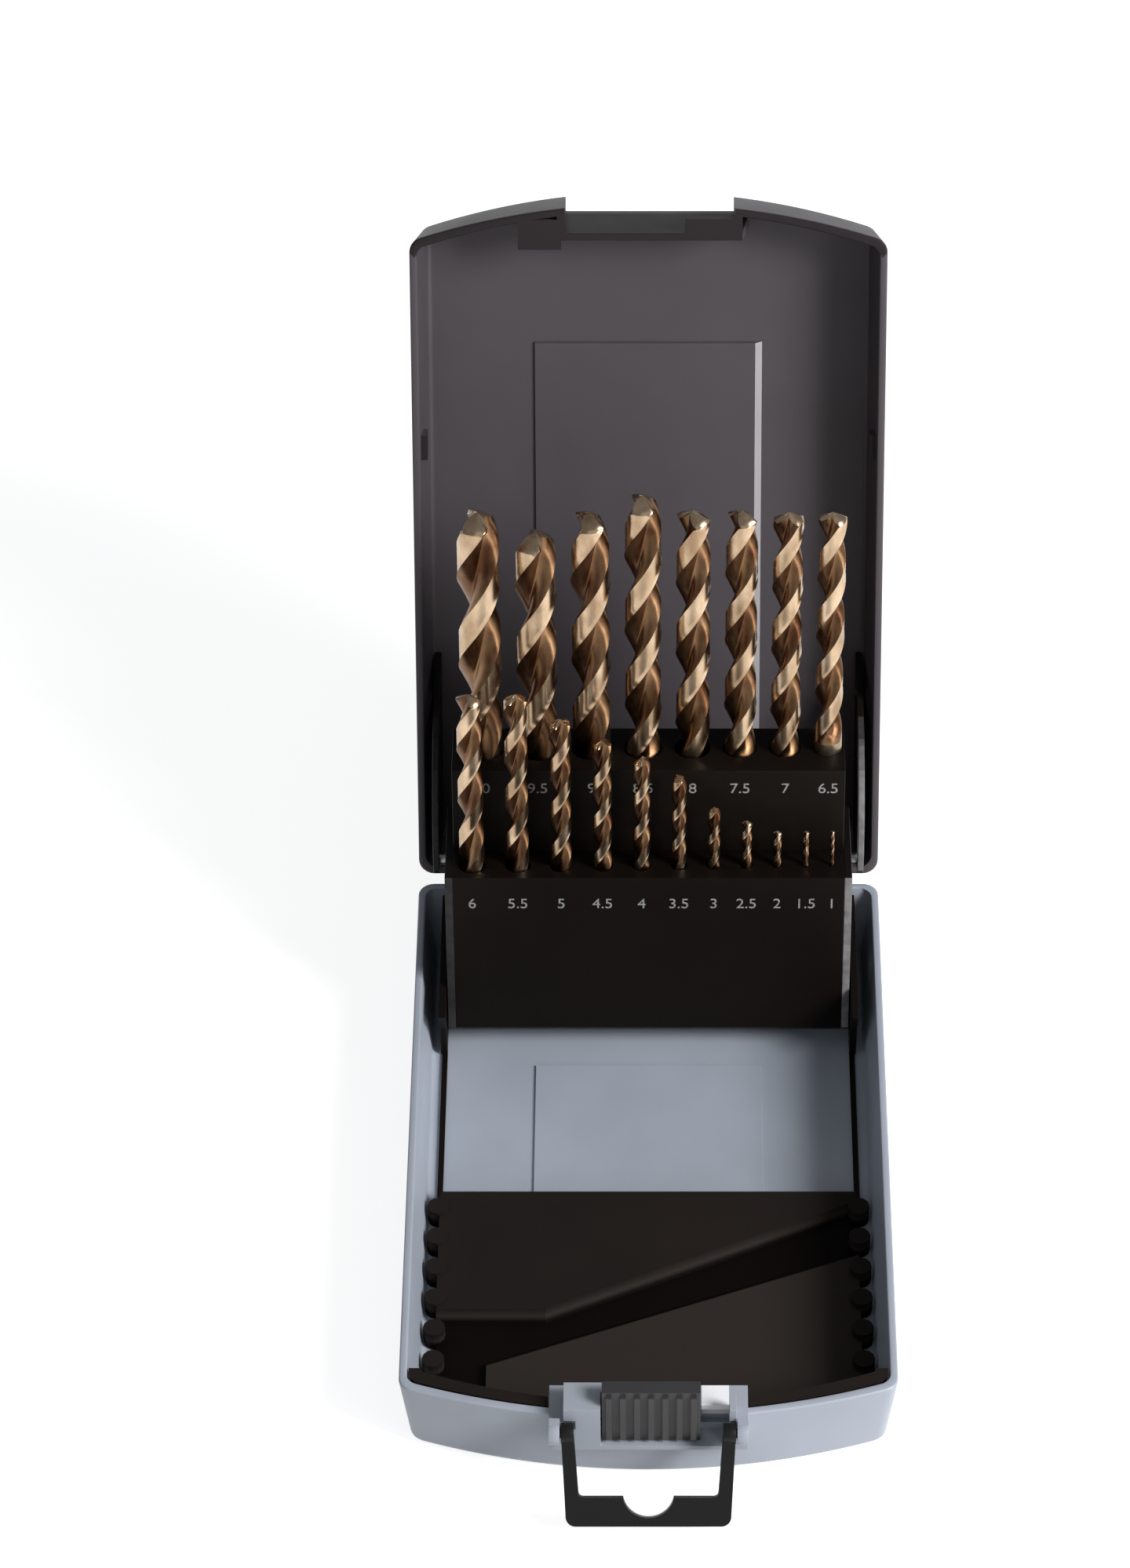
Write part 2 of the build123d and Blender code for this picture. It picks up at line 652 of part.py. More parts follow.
cam_path = [follower_in_lid(step / cam_path_steps) for step in range(cam_path_steps + 1)]
bracket_low = floor_thickness - hinge_z
bracket_rear = -rear_setback - wall - draft_inset(hinge_z - floor_thickness)
bracket_outline = (
    (bracket_rear, bracket_low), (-bracket_foot_front, bracket_low),
    (-bracket_knee_front, -bracket_knee_drop), (-bracket_top_front, -swing_clearance),
    (bracket_rear, -swing_clearance),
)

for side, name in ((-1, "left"), (1, "right")):
    with BuildPart() as cheek:
        with BuildSketch(holder_side.offset(side * cheek_x)):
            front_profile(front_block_top)
            back_profile(front_block_top)
            with Locations((follower_back, follower_up)):
                Circle(follower_ear)
            Circle(pivot_pin_radius, mode=Mode.SUBTRACT)
            with Locations((follower_back, follower_up)):
                Circle(follower_radius, mode=Mode.SUBTRACT)
        extrude(amount=side * cheek_thickness)
    save(cheek, f"holder_cheek_{name}")

    with BuildPart() as bracket:
        with BuildSketch(base_side.offset(side * bracket_x)):
            with BuildLine():
                Polyline(*bracket_outline, close=True)
            make_face()
            with Locations((-pivot_forward, -pivot_drop)):
                Circle(pivot_pin_radius + pin_fit + bracket_eye)
                Circle(pivot_pin_radius + pin_fit, mode=Mode.SUBTRACT)
        extrude(amount=side * bracket_thickness)
    save(bracket, f"pivot_bracket_{name}")

    with BuildPart() as pivot_pin:
        with BuildSketch(holder_side.offset(side * pivot_pin_inner)):
            Circle(pivot_pin_radius)
        extrude(amount=side * (bracket_x + bracket_thickness - pivot_pin_inner))
    save(pivot_pin, f"pivot_pin_{name}")

    with BuildPart() as cam_plate:
        with BuildSketch(lid_side.offset(side * cam_x)):
            with Locations(*cam_path):
                RegularPolygon(follower_ear, ear_sides)
            block_between(cam_foot_rear, cam_foot_front,
                          -lid_plate_inner, cam_foot_height - lid_plate_inner)
            make_hull()
        extrude(amount=side * cam_thickness)
        with BuildSketch(lid_side.offset(side * cam_x)):
            with BuildLine() as line:
                Spline(*cam_path)
            trace(line.edges(), 2 * (follower_radius + slot_clearance))
            with Locations(cam_path[0], cam_path[-1]):
                Circle(follower_radius + slot_clearance)
        extrude(amount=side * cam_thickness, mode=Mode.SUBTRACT)
    save(cam_plate, f"cam_plate_{name}")

    with BuildPart() as follower_pin:
        with BuildSketch(holder_side.offset(side * cheek_x)):
            with Locations((follower_back, follower_up)):
                Circle(follower_radius)
        extrude(amount=side * (cam_outer_x - cheek_x))
    save(follower_pin, f"follower_pin_{name}")


# ---- drills: shank, twisted flutes in flat facets, point ------------------------------
def flute_ring(radius, height, twist):
    """Eight corners of the fluted section: two lands and two valleys."""
    corners = []
    for half_turn in (0.0, 180.0):
        for angle, reach in (
            (-flute_land, radius),
            (flute_land, radius),
            (90 - flute_valley, radius * web_ratio),
            (90 + flute_valley, radius * web_ratio),
        ):
            turn = radians(half_turn + angle + twist)
            corners.append((reach * cos(turn), reach * sin(turn), height))
    return corners


def fluted_body(diameter, flute):
    """Closed solid of the twisted part and the point, in the drill's own frame."""
    radius = diameter / 2 - flute_relief
    point = diameter / 2 / tan(radians(point_angle / 2))
    turns = (flute - point) / (diameter * flute_pitch_ratio) * 360
    steps = ceil(turns / flute_step)
    rings = [
        flute_ring(radius, (flute - point) * step / steps, turns * step / steps)
        for step in range(steps + 1)
    ]
    tip = (0, 0, flute)
    count = len(rings[0])
    faces = [Face(Wire.make_polygon([rings[0][i] for i in range(count)][::-1]))]
    for low, high in zip(rings, rings[1:]):
        for i in range(count):
            j = (i + 1) % count
            faces.append(Face(Wire.make_polygon([low[i], low[j], high[j]])))
            faces.append(Face(Wire.make_polygon([low[i], high[j], high[i]])))
    for i in range(count):
        faces.append(Face(Wire.make_polygon([rings[-1][i], rings[-1][(i + 1) % count], tip])))
    return Solid(Shell(faces))


def drill_name(diameter):
    return "drill_" + f"{diameter:.1f}".replace(".", "_") + "_mm"


for diameter, length, flute, x, rear, seat in small_row + large_row:
    with BuildPart() as drill:
        with BuildSketch(holder_plan.offset(seat)):
            with Locations((x, rear)):
                RegularPolygon(diameter / 2, shank_sides)
        extrude(amount=length - flute)
        twisted = fluted_body(diameter, flute + flute_overlap)
        start = holder_plan.offset(seat + length - flute - flute_overlap)
        add(start.location * Pos(x, rear, 0) * twisted)
    save(drill, drill_name(diameter))
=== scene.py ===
import bmesh
import bpy
import json
from math import atan2, cos, degrees, pi, radians, sin, tan
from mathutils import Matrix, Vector


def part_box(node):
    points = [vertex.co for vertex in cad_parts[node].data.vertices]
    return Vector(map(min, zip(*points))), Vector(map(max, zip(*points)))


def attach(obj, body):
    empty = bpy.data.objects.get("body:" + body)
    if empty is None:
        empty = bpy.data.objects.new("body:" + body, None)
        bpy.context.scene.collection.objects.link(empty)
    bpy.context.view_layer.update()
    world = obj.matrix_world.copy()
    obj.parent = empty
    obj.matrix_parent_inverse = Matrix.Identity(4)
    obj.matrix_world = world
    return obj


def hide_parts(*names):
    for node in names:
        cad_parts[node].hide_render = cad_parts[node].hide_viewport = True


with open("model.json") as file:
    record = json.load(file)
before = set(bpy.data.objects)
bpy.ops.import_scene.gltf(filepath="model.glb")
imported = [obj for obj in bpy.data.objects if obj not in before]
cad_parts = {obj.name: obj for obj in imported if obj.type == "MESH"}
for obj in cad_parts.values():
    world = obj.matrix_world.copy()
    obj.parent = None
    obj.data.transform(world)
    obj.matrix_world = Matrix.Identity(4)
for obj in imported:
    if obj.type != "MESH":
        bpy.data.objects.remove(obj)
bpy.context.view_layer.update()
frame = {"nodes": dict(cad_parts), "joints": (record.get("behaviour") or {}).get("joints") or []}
NODES = frame["nodes"]
MM = 0.001                          # all lengths are in metres


def joint_named(name):
    """The frame's joint of this name."""
    return next(joint for joint in frame["joints"] if joint["name"] == name)


# ---- stage: camera, lamps, world and floor ---------------------------------
LENS = 130.0                        # mm, on a sensor 36 mm high
SENSOR = 36.0
CAMERA_PLACE = (0.0, -0.88236, 0.97805)
CAMERA_ELEVATION = 43.74            # degrees above the table, looking down
CAMERA_SHIFT = -0.0532              # the case stands right of the middle
CAMERA_NEAR = 0.01

KEY_PLACE = (0.95, -0.5, 0.85)      # soft lamp on the right
KEY_SIZE = (0.45, 0.55)
KEY_POWER = 20.0                    # watts
FILL_PLACE = (-0.1, -1.0, 0.6)
FILL_SIZE = (0.9, 0.9)
FILL_POWER = 0.8
GLINT_PLACE = (0.62, -0.66, 0.22)   # small low lamp that streaks the drills and the panel's edge
GLINT_SIZE = (0.2, 0.3)
GLINT_POWER = 1.4
LAMP_TARGET = (0.0, 0.02, 0.04)
WORLD_COLOUR = (0.92, 0.95, 1.0)
WORLD_STRENGTH = 0.25
FLOOR_GREY = 0.62
FLOOR_ROUGHNESS = 0.9
FLOOR_SPECULAR = 0.1
FLOOR_LIFT = 0.8                    # added where the camera sees the floor, so that it is white
FLOOR_HALF = 3.0                    # half its side


def make_camera():
    """The photograph's view: from the front and above, without roll."""
    data = bpy.data.cameras.new("camera")
    data.sensor_fit = "VERTICAL"
    data.sensor_height = SENSOR
    data.lens = LENS
    data.shift_x = CAMERA_SHIFT
    data.clip_start = CAMERA_NEAR
    camera = bpy.data.objects.new("camera", data)
    camera.location = CAMERA_PLACE
    camera.rotation_euler = (radians(90 - CAMERA_ELEVATION), 0, 0)
    bpy.context.scene.collection.objects.link(camera)
    bpy.context.scene.camera = camera


def make_lamp(name, place, size, power):
    """A rectangular soft lamp that looks at the middle of the case."""
    data = bpy.data.lights.new(name, "AREA")
    data.shape = "RECTANGLE"
    data.size, data.size_y = size
    data.energy = power
    lamp = bpy.data.objects.new(name, data)
    lamp.location = place
    direction = Vector(LAMP_TARGET) - Vector(place)
    lamp.rotation_euler = direction.to_track_quat("-Z", "Y").to_euler()
    bpy.context.scene.collection.objects.link(lamp)


def seen_directly(nodes, links):
    """1 for camera, glossy and transmitted rays, else 0."""
    path = nodes.new("ShaderNodeLightPath")
    total = path.outputs["Is Camera Ray"]
    for kind in ("Is Glossy Ray", "Is Transmission Ray"):
        either = nodes.new("ShaderNodeMath")
        either.operation = "MAXIMUM"
        links.new(total, either.inputs[0])
        links.new(path.outputs[kind], either.inputs[1])
        total = either.outputs[0]
    return total


def make_world():
    """Even pale light all round, which the camera sees as white."""
    world = bpy.data.worlds.new("studio")
    world.use_nodes = True
    nodes, links = world.node_tree.nodes, world.node_tree.links
    light = nodes["Background"]
    light.inputs["Color"].default_value = (*WORLD_COLOUR, 1)
    light.inputs["Strength"].default_value = WORLD_STRENGTH
    white = nodes.new("ShaderNodeBackground")
    white.inputs["Color"].default_value = (1, 1, 1, 1)
    white.inputs["Strength"].default_value = 1.0
    path = nodes.new("ShaderNodeLightPath")
    mix = nodes.new("ShaderNodeMixShader")
    links.new(path.outputs["Is Camera Ray"], mix.inputs["Fac"])
    links.new(light.outputs[0], mix.inputs[1])
    links.new(white.outputs[0], mix.inputs[2])
    links.new(mix.outputs[0], nodes["World Output"].inputs["Surface"])
    bpy.context.scene.world = world


def make_floor():
    """A plain pale floor, lifted to white where it is seen but not where it lights."""
    material = bpy.data.materials.new("floor_white")
    material.use_nodes = True
    nodes, links = material.node_tree.nodes, material.node_tree.links
    base = nodes["Principled BSDF"]
    base.inputs["Base Color"].default_value = (FLOOR_GREY, FLOOR_GREY, FLOOR_GREY, 1)
    base.inputs["Roughness"].default_value = FLOOR_ROUGHNESS
    base.inputs["Specular IOR Level"].default_value = FLOOR_SPECULAR
    lift = nodes.new("ShaderNodeMath")
    lift.operation = "MULTIPLY"
    lift.inputs[1].default_value = FLOOR_LIFT
    links.new(seen_directly(nodes, links), lift.inputs[0])
    base.inputs["Emission Color"].default_value = (1, 1, 1, 1)
    links.new(lift.outputs[0], base.inputs["Emission Strength"])
    mesh = bpy.data.meshes.new("floor")
    side = FLOOR_HALF
    mesh.from_pydata([(-side, -side, 0), (side, -side, 0), (side, side, 0), (-side, side, 0)],
                     [], [(0, 1, 2, 3)])
    mesh.materials.append(material)
    floor = bpy.data.objects.new("floor", mesh)
    bpy.context.scene.collection.objects.link(floor)


# ---- materials: colour, mottling, grain and sheen from nodes ----------------
CLOUD_SIZE = 28 * MM                # slow changes of a plastic's tone
CLOUD_DETAIL = 3.0
TONE_STOPS = (0.3, 0.7)             # the noise at the darkest and the lightest tone
RUB_SIZE = 9 * MM                   # changes of its sheen, drawn out along Y
RUB_STRETCH = (1, 2.5, 1)
SHEEN_SPREAD = 0.06
GRAIN_SIZE = 0.35 * MM              # eroded grain of the mould
SWELL_SIZE = 14 * MM                # faint unevenness of a moulded face
SWELL_HEIGHT = 0.02 * MM

PLATE_EDGE_NORMAL = (0.0, -0.93, 0.37)      # faces that look this way get the painted highlight: the lid's open side when the case is open
PLATE_MASK = (-1.4, 1.2)            # black below 0, painted highlight all over above 1
PLATE_PATCH_SIZE = 3 * MM
PLATE_PATCH_DETAIL = 3.0
PLATE_STOPS = (0.3, 0.6)
PLATE_FAINT = 0.6                   # where the painted highlight is faintest, a share of its colour
PLATE_ROUGHNESS = (0.4, 0.55)
PLATE_SPECULAR = 0.2
PLATE_GRAIN = 0.008 * MM

HEAT_SIZE = 5 * MM                  # clouds of the drills' oxide, drawn out along Z
HEAT_STRETCH = (1, 1, 2)
HEAT_DETAIL = 4.0
HEAT_STOPS = (0.35, 0.65)
WEAR_SIZE = 1.6 * MM
WEAR_STRETCH = (1, 1, 3)
WEAR_SPREAD = (-0.08, 0.1)
GRINDING_SIZE = 0.12 * MM           # fine lines round the drills
GRINDING_STRETCH = (6, 6, 1)
GRINDING_HEIGHT = 0.006 * MM

INK_PATCH_SIZE = 0.5 * MM
INK_PATCH_DETAIL = 3.0
INK_STOPS = (0.3, 0.6)
INK_THIN = (0.16, 0.16, 0.15)
INK_FULL = (0.33, 0.33, 0.31)
INK_ROUGHNESS = (0.5, 0.7)


class Shader:
    """A principled material under construction, in object coordinates."""

    def __init__(self, name):
        self.material = bpy.data.materials.new(name)
        self.material.use_nodes = True
        self.nodes = self.material.node_tree.nodes
        self.links = self.material.node_tree.links
        self.base = self.nodes["Principled BSDF"]
        self.place = self.nodes.new("ShaderNodeTexCoord").outputs["Object"]

    def set(self, **values):
        """Plain values of the material's inputs, with _ for a space in their names."""
        for name, value in values.items():
            self.base.inputs[name.replace("_", " ")].default_value = value

    def noise(self, size, stretch=(1, 1, 1), detail=2.0):
        """Noise with features of a size in metres, drawn out along the axes by the stretch."""
        scale = self.nodes.new("ShaderNodeVectorMath")
        scale.operation = "MULTIPLY"
        scale.inputs[1].default_value = [1 / (size * s) for s in stretch]
        texture = self.nodes.new("ShaderNodeTexNoise")
        texture.inputs["Scale"].default_value = 1.0
        texture.inputs["Detail"].default_value = detail
        self.links.new(self.place, scale.inputs[0])
        self.links.new(scale.outputs[0], texture.inputs["Vector"])
        return texture.outputs["Fac"]

    def ramp(self, value, stops, colours):
        """Two colours, mixed as the value goes from the first stop to the second."""
        ramp = self.nodes.new("ShaderNodeValToRGB")
        for element, stop, colour in zip(ramp.color_ramp.elements, stops, colours):
            element.position = stop
            element.color = (*colour, 1)
        self.links.new(value, ramp.inputs["Fac"])
        return ramp.outputs["Color"]

    def range(self, value, low, high):
        """A value from 0 to 1 brought between low and high."""
        node = self.nodes.new("ShaderNodeMapRange")
        node.inputs["To Min"].default_value = low
        node.inputs["To Max"].default_value = high
        self.links.new(value, node.inputs["Value"])
        return node.outputs["Result"]

    def bump(self, value, height, below=None):
        """Grain of a height in metres, over an earlier bump."""
        node = self.nodes.new("ShaderNodeBump")
        node.inputs["Strength"].default_value = 1.0
        node.inputs["Distance"].default_value = height
        self.links.new(value, node.inputs["Height"])
        if below:
            self.links.new(below, node.inputs["Normal"])
        return node.outputs["Normal"]

    def along(self, axis):
        """The place along an axis, in metres."""
        split = self.nodes.new("ShaderNodeSeparateXYZ")
        self.links.new(self.place, split.inputs[0])
        return split.outputs[axis]

    def mixed(self, factor, low, high):
        """The low colour where the factor is 0 and the high one where it is 1.

        Each colour is three numbers or a node's output."""
        mix = self.nodes.new("ShaderNodeMix")
        mix.data_type = "RGBA"
        self.links.new(factor, mix.inputs["Factor"])
        for name, colour in (("A", low), ("B", high)):
            if isinstance(colour, tuple):
                mix.inputs[name].default_value = (*colour, 1)
            else:
                self.links.new(colour, mix.inputs[name])
        return mix.outputs["Result"]

    def by_height(self, colour, low_colour, low, high):
        """A low colour that fades into the given one between two heights in metres."""
        height = self.nodes.new("ShaderNodeMapRange")
        height.inputs["From Min"].default_value = low
        height.inputs["From Max"].default_value = high
        self.links.new(self.along("Z"), height.inputs["Value"])
        return self.mixed(height.outputs["Result"], low_colour, colour)

    def patched(self, colour, patch_colour, across, up):
        """The patch's colour inside its ranges along X and Z, else the given one."""
        both = self.nodes.new("ShaderNodeMath")
        both.operation = "MULTIPLY"
        for place, (axis, (low, high)) in enumerate((("X", across), ("Z", up))):
            inside = self.nodes.new("ShaderNodeMath")
            inside.operation = "COMPARE"
            inside.inputs[1].default_value = (low + high) / 2
            inside.inputs[2].default_value = (high - low) / 2
            self.links.new(self.along(axis), inside.inputs[0])
            self.links.new(inside.outputs[0], both.inputs[place])
        return self.mixed(both.outputs[0], colour, patch_colour)

    def connect(self, output, name):
        """Feed one of the material's inputs."""
        self.links.new(output, self.base.inputs[name])


def shade(colour, factor):
    """A colour made darker or lighter by a factor."""
    return tuple(channel * factor for channel in colour)


def plastic(name, colour, roughness, grain, specular=0.5, mottle=0.06, layers=(), patch=None):
    """Moulded plastic: eroded grain, faint flow marks and uneven sheen.

    Each layer is a lower colour and the heights in metres between which it fades out.
    A patch is a colour and its ranges along X and Z in metres."""
    s = Shader(name)
    clouds = s.noise(CLOUD_SIZE, detail=CLOUD_DETAIL)
    tone = s.ramp(clouds, TONE_STOPS, (shade(colour, 1 - mottle), shade(colour, 1 + mottle)))
    for layer in layers:
        tone = s.by_height(tone, *layer)
    if patch:
        tone = s.patched(tone, *patch)
    s.connect(tone, "Base Color")
    rub = s.noise(RUB_SIZE, stretch=RUB_STRETCH)
    s.connect(s.range(rub, roughness - SHEEN_SPREAD, roughness + SHEEN_SPREAD), "Roughness")
    s.set(Specular_IOR_Level=specular)
    fine = s.bump(s.noise(GRAIN_SIZE, detail=1.0), grain)
    swell = s.noise(SWELL_SIZE, detail=1.0)
    s.connect(s.bump(swell, SWELL_HEIGHT, below=fine), "Normal")
    return s.material


def plate_highlight_plastic(name, colour, highlight):
    """Black plate whose edges get a painted highlight, grey, where they look out of the open lid.

    The mask follows directions in the scene, so the painted highlight is right while the case
    stands open."""
    s = Shader(name)
    facing = s.nodes.new("ShaderNodeVectorMath")
    facing.operation = "DOT_PRODUCT"
    facing.inputs[1].default_value = PLATE_EDGE_NORMAL
    s.links.new(s.nodes.new("ShaderNodeNewGeometry").outputs["Normal"], facing.inputs[0])
    edge = s.range(facing.outputs["Value"], *PLATE_MASK)
    patches = s.noise(PLATE_PATCH_SIZE, detail=PLATE_PATCH_DETAIL)
    highlight_tone = s.ramp(patches, PLATE_STOPS, (shade(highlight, PLATE_FAINT), highlight))
    s.connect(s.mixed(edge, colour, highlight_tone), "Base Color")
    s.set(Specular_IOR_Level=PLATE_SPECULAR)
    s.connect(s.range(patches, *PLATE_ROUGHNESS), "Roughness")
    s.connect(s.bump(s.noise(GRAIN_SIZE, detail=1.0), PLATE_GRAIN), "Normal")
    return s.material


def drill_metal(name, dark, light, roughness):
    """Ground steel with a bronze oxide skin: heat clouds and fine grinding lines."""
    s = Shader(name)
    heat = s.noise(HEAT_SIZE, stretch=HEAT_STRETCH, detail=HEAT_DETAIL)
    s.connect(s.ramp(heat, HEAT_STOPS, (dark, light)), "Base Color")
    s.set(Metallic=1.0)
    wear = s.noise(WEAR_SIZE, stretch=WEAR_STRETCH)
    smooth, rough = (roughness + change for change in WEAR_SPREAD)
    s.connect(s.range(wear, smooth, rough), "Roughness")
    lines = s.noise(GRINDING_SIZE, stretch=GRINDING_STRETCH)
    s.connect(s.bump(lines, GRINDING_HEIGHT), "Normal")
    return s.material


def print_ink():
    """Pad-printed sizes: grey-white ink, a little thin in places."""
    s = Shader("print_ink")
    cover = s.noise(INK_PATCH_SIZE, detail=INK_PATCH_DETAIL)
    s.connect(s.ramp(cover, INK_STOPS, (INK_THIN, INK_FULL)), "Base Color")
    s.connect(s.range(cover, *INK_ROUGHNESS), "Roughness")
    return s.material


# layers of the tip tray: a colour, and the heights between which it fades out upwards
TRAY_LEDGE = ((0.030, 0.024, 0.021), 4.9 * MM, 6.0 * MM)
# painted shade: near-black low down in the tray, where its groove between the terraces lies in
# shade
TRAY_GROOVE_SHADE = ((0.003, 0.0016, 0.0012), 3.7 * MM, 4.7 * MM)
# painted light: a near-white patch on the recess beside the latch's slider; its colour and where
# it lies across and up
PAINTED_LIGHT_PATCH = ((0.9, 0.9, 0.92), (11.7 * MM, 17.7 * MM), (17.0 * MM, 25.9 * MM))
JET = (0.0055, 0.0036, 0.0026)      # blocks, plates, brackets, and the painted-shade strips on the floor

GREY = plastic("grey_plastic_grain", (0.36, 0.395, 0.455), roughness=0.42, grain=0.010 * MM)
LID = plastic("lid_plastic_grain", (0.072, 0.062, 0.069), roughness=0.48, grain=0.012 * MM,
              specular=0.35)
# painted highlight: the panel's right flank is coloured far lighter and glossier than the lid, so
# it shows as a bright line
LID_FLANK_HIGHLIGHT = plastic("lid_flank_painted_highlight", (0.26, 0.25, 0.26), roughness=0.25, grain=0.004 * MM)
# painted shade: near-black for the lid's far rim, the corner by the notch and the side stops,
# where shade falls
LID_PAINTED_SHADE = plastic("lid_painted_shade_plastic", (0.022, 0.018, 0.019), roughness=0.5, grain=0.012 * MM,
                  specular=0.15)
BLACK = plastic("black_plastic_grain", JET, roughness=0.5, grain=0.010 * MM, specular=0.12,
                mottle=0.15)
TRAY = plastic("tray_plastic_grain", (0.016, 0.0122, 0.0107), roughness=0.6, grain=0.012 * MM,
               specular=0.08, mottle=0.12, layers=(TRAY_LEDGE, TRAY_GROOVE_SHADE))
HOUSING = plastic("housing_plastic_grain", (0.33, 0.36, 0.41), roughness=0.42,
                  grain=0.010 * MM, patch=PAINTED_LIGHT_PATCH)
HANDLE = plastic("handle_plastic_grain", (0.009, 0.009, 0.009), roughness=0.42,
                 grain=0.008 * MM, specular=0.2)
SLIDER = plastic("slider_plastic_grain", (0.038, 0.036, 0.038), roughness=0.4,
                 grain=0.006 * MM, specular=0.4)
# painted highlight on the plates' edges that face the light: bright on the right-hand plates,
# faint on the left-hand ones
PLATES_BRIGHT_HIGHLIGHT = plate_highlight_plastic("plate_bright_highlight_plastic", JET, highlight=(0.24, 0.23, 0.23))
PLATES_FAINT_HIGHLIGHT = plate_highlight_plastic("plate_highlight_plastic", JET, highlight=(0.035, 0.034, 0.034))
FLUTE = drill_metal("bronze_flute", (0.10, 0.042, 0.02), (0.25, 0.145, 0.075), roughness=0.3)
LAND = drill_metal("bronze_land", (0.35, 0.235, 0.14), (0.66, 0.49, 0.33), roughness=0.24)
SHANK = drill_metal("bronze_shank", (0.24, 0.18, 0.12), (0.42, 0.33, 0.23), roughness=0.34)
STEEL = drill_metal("pin_steel_drawn", (0.42, 0.42, 0.42), (0.6, 0.6, 0.6), roughness=0.32)
INK = print_ink()

LID_ZONES = {"face": LID, "painted_shade": LID_PAINTED_SHADE, "flank": LID_FLANK_HIGHLIGHT}
DRILL_ZONES = {"flute": FLUTE, "land": LAND, "shank": SHANK}
NODE_MATERIALS = {
    "latch_housing": HOUSING, "latch_slider": SLIDER, "carry_handle": HANDLE, "tip_tray": TRAY,
    "cam_plate_left": PLATES_FAINT_HIGHLIGHT, "cam_plate_right": PLATES_BRIGHT_HIGHLIGHT,
    "holder_cheek_left": PLATES_FAINT_HIGHLIGHT, "holder_cheek_right": PLATES_BRIGHT_HIGHLIGHT,
}


# ---- moulded pieces: the CAD nodes with softened edges -----------------------
SOFT_EDGES = {                      # edge radius of each moulded piece
    "latch_housing": 0.35 * MM, "latch_slider": 0.25 * MM, "carry_handle": 0.5 * MM,
    "tip_tray": 0.3 * MM, "front_row_block": 0.4 * MM, "back_row_block": 0.4 * MM,
}
OTHER_EDGES = 0.2 * MM
SOFT_SEGMENTS = 2
SHARP = 28.0                        # degrees between two faces that meet in an edge
FLAT = 0.5                          # degrees between facets that are one flat face
WELD_GAP = 0.002 * MM               # corners this close are one corner of the CAD's mesh
CLEAN_GAP = 0.003 * MM              # and after softening


def soften(obj, radius, sharp):
    """Round the edges where faces meet at more than an angle in degrees."""
    soft = obj.modifiers.new("soft", "BEVEL")
    soft.width = radius
    soft.segments = SOFT_SEGMENTS
    soft.limit_method = "ANGLE"
    soft.angle_limit = radians(sharp)
    clean = obj.modifiers.new("clean", "WELD")
    clean.merge_threshold = CLEAN_GAP


def dress_node(name, node):
    """Give a CAD node its material and, as modifiers, soft moulded edges."""
    material = NODE_MATERIALS.get(name, STEEL if "pin" in name else BLACK)
    for slot in node.material_slots:
        slot.material = material
    weld = node.modifiers.new("weld", "WELD")
    weld.merge_threshold = WELD_GAP
    flat = node.modifiers.new("flat", "DECIMATE")
    flat.decimate_type = "DISSOLVE"
    flat.angle_limit = radians(FLAT)
    soften(node, SOFT_EDGES.get(name, OTHER_EDGES), SHARP)


# ---- shells: moulded trays with round edges, in place of the CAD's bevelled ones ----
CORNER_LENGTH = 158.5 * MM          # hinge line to the front corners
FRONT_SAGITTA = 9.0 * MM            # bulge of the curved front
FRONT_LENGTH = CORNER_LENGTH + FRONT_SAGITTA
REAR_SETBACK = 1.2 * MM             # rear walls stand in front of the hinge axis
WALL = 1.8 * MM
PLATE = 2.0 * MM
DRAFT = 6.0                         # degrees
RIM_GAP = 0.15 * MM
CORNER = 3.6 * MM                   # upright corners in plan
BOTTOM_ROUND = 3.0 * MM             # edges of the underside
TOP_ROUND = 2.6 * MM                # edges of the lid's plate
RIM_ROUND = 0.5 * MM
INNER_ROUND = 1.2 * MM
LID_HEIGHT = 18.5 * MM
ARC_STEPS = 6                       # facets in a quarter turn
FRONT_STEPS = 28
CUT_MARGIN = 3 * MM                 # cutting tools reach this far into the open
SHELL_SOFT = 0.3 * MM               # edges that cuts leave
SHELL_SHARP = 40.0                  # degrees; only edges sharper than this are softened
SHELL_SMOOTH = 17.0                 # degrees; the facets of the round edges stay below it

KNUCKLE_COUNT = 5
KNUCKLE_LENGTH = 15.0 * MM
KNUCKLE_GAP = 0.3 * MM
KNUCKLE_RADIUS = 2.2 * MM
KNUCKLE_RELIEF = 0.35 * MM
KNUCKLE_BORE = 1.05 * MM
KNUCKLE_SIDES = 32

PANEL_HALF = 26.6 * MM
PANEL_RISE = 0.6 * MM
PANEL_DRAFT = 4                     # shares of the shells' draft
PANEL_FLANK = 25                    # the same for the wide flank on the panel's right
FLANK_TILT = (0.2, 0.6)             # how far that flank's normal leans to the right
LID_PANEL = (30.0 * MM, 129.3 * MM)
FLOOR_PANEL = (43.0 * MM, 86.5 * MM)
FLOOR_PANEL_RISE = 0.5 * MM
SHADE_STRIP_INNER = 47.6 * MM              # black strips on the floor that paint the shade at the foot of the side walls, from the brackets to the tray
SHADE_STRIP_WIDTH = 1.3 * MM
SHADE_STRIP_HEIGHT = 0.6 * MM
SHADE_STRIP_SINK = 0.15 * MM               # part of a strip that lies in the floor
SHADE_STRIP_ALONG = (38.2 * MM, 86.4 * MM)
HOUSING_REAR = -77.45 * MM          # Y of the back of the latch housing's seat
NOTCH = (-19.2 * MM, 19.8 * MM)     # latch notch in the lid's end, left and right
NOTCH_DEPTH = 6.9 * MM
NOTCH_FLOOR = FRONT_LENGTH - NOTCH_DEPTH
NOTCH_SHORT = WALL / 0.7            # the notch's side walls stop inside the curved end wall
TONGUE_LEFT = 8.4 * MM
TONGUE_REACH = 3.3 * MM
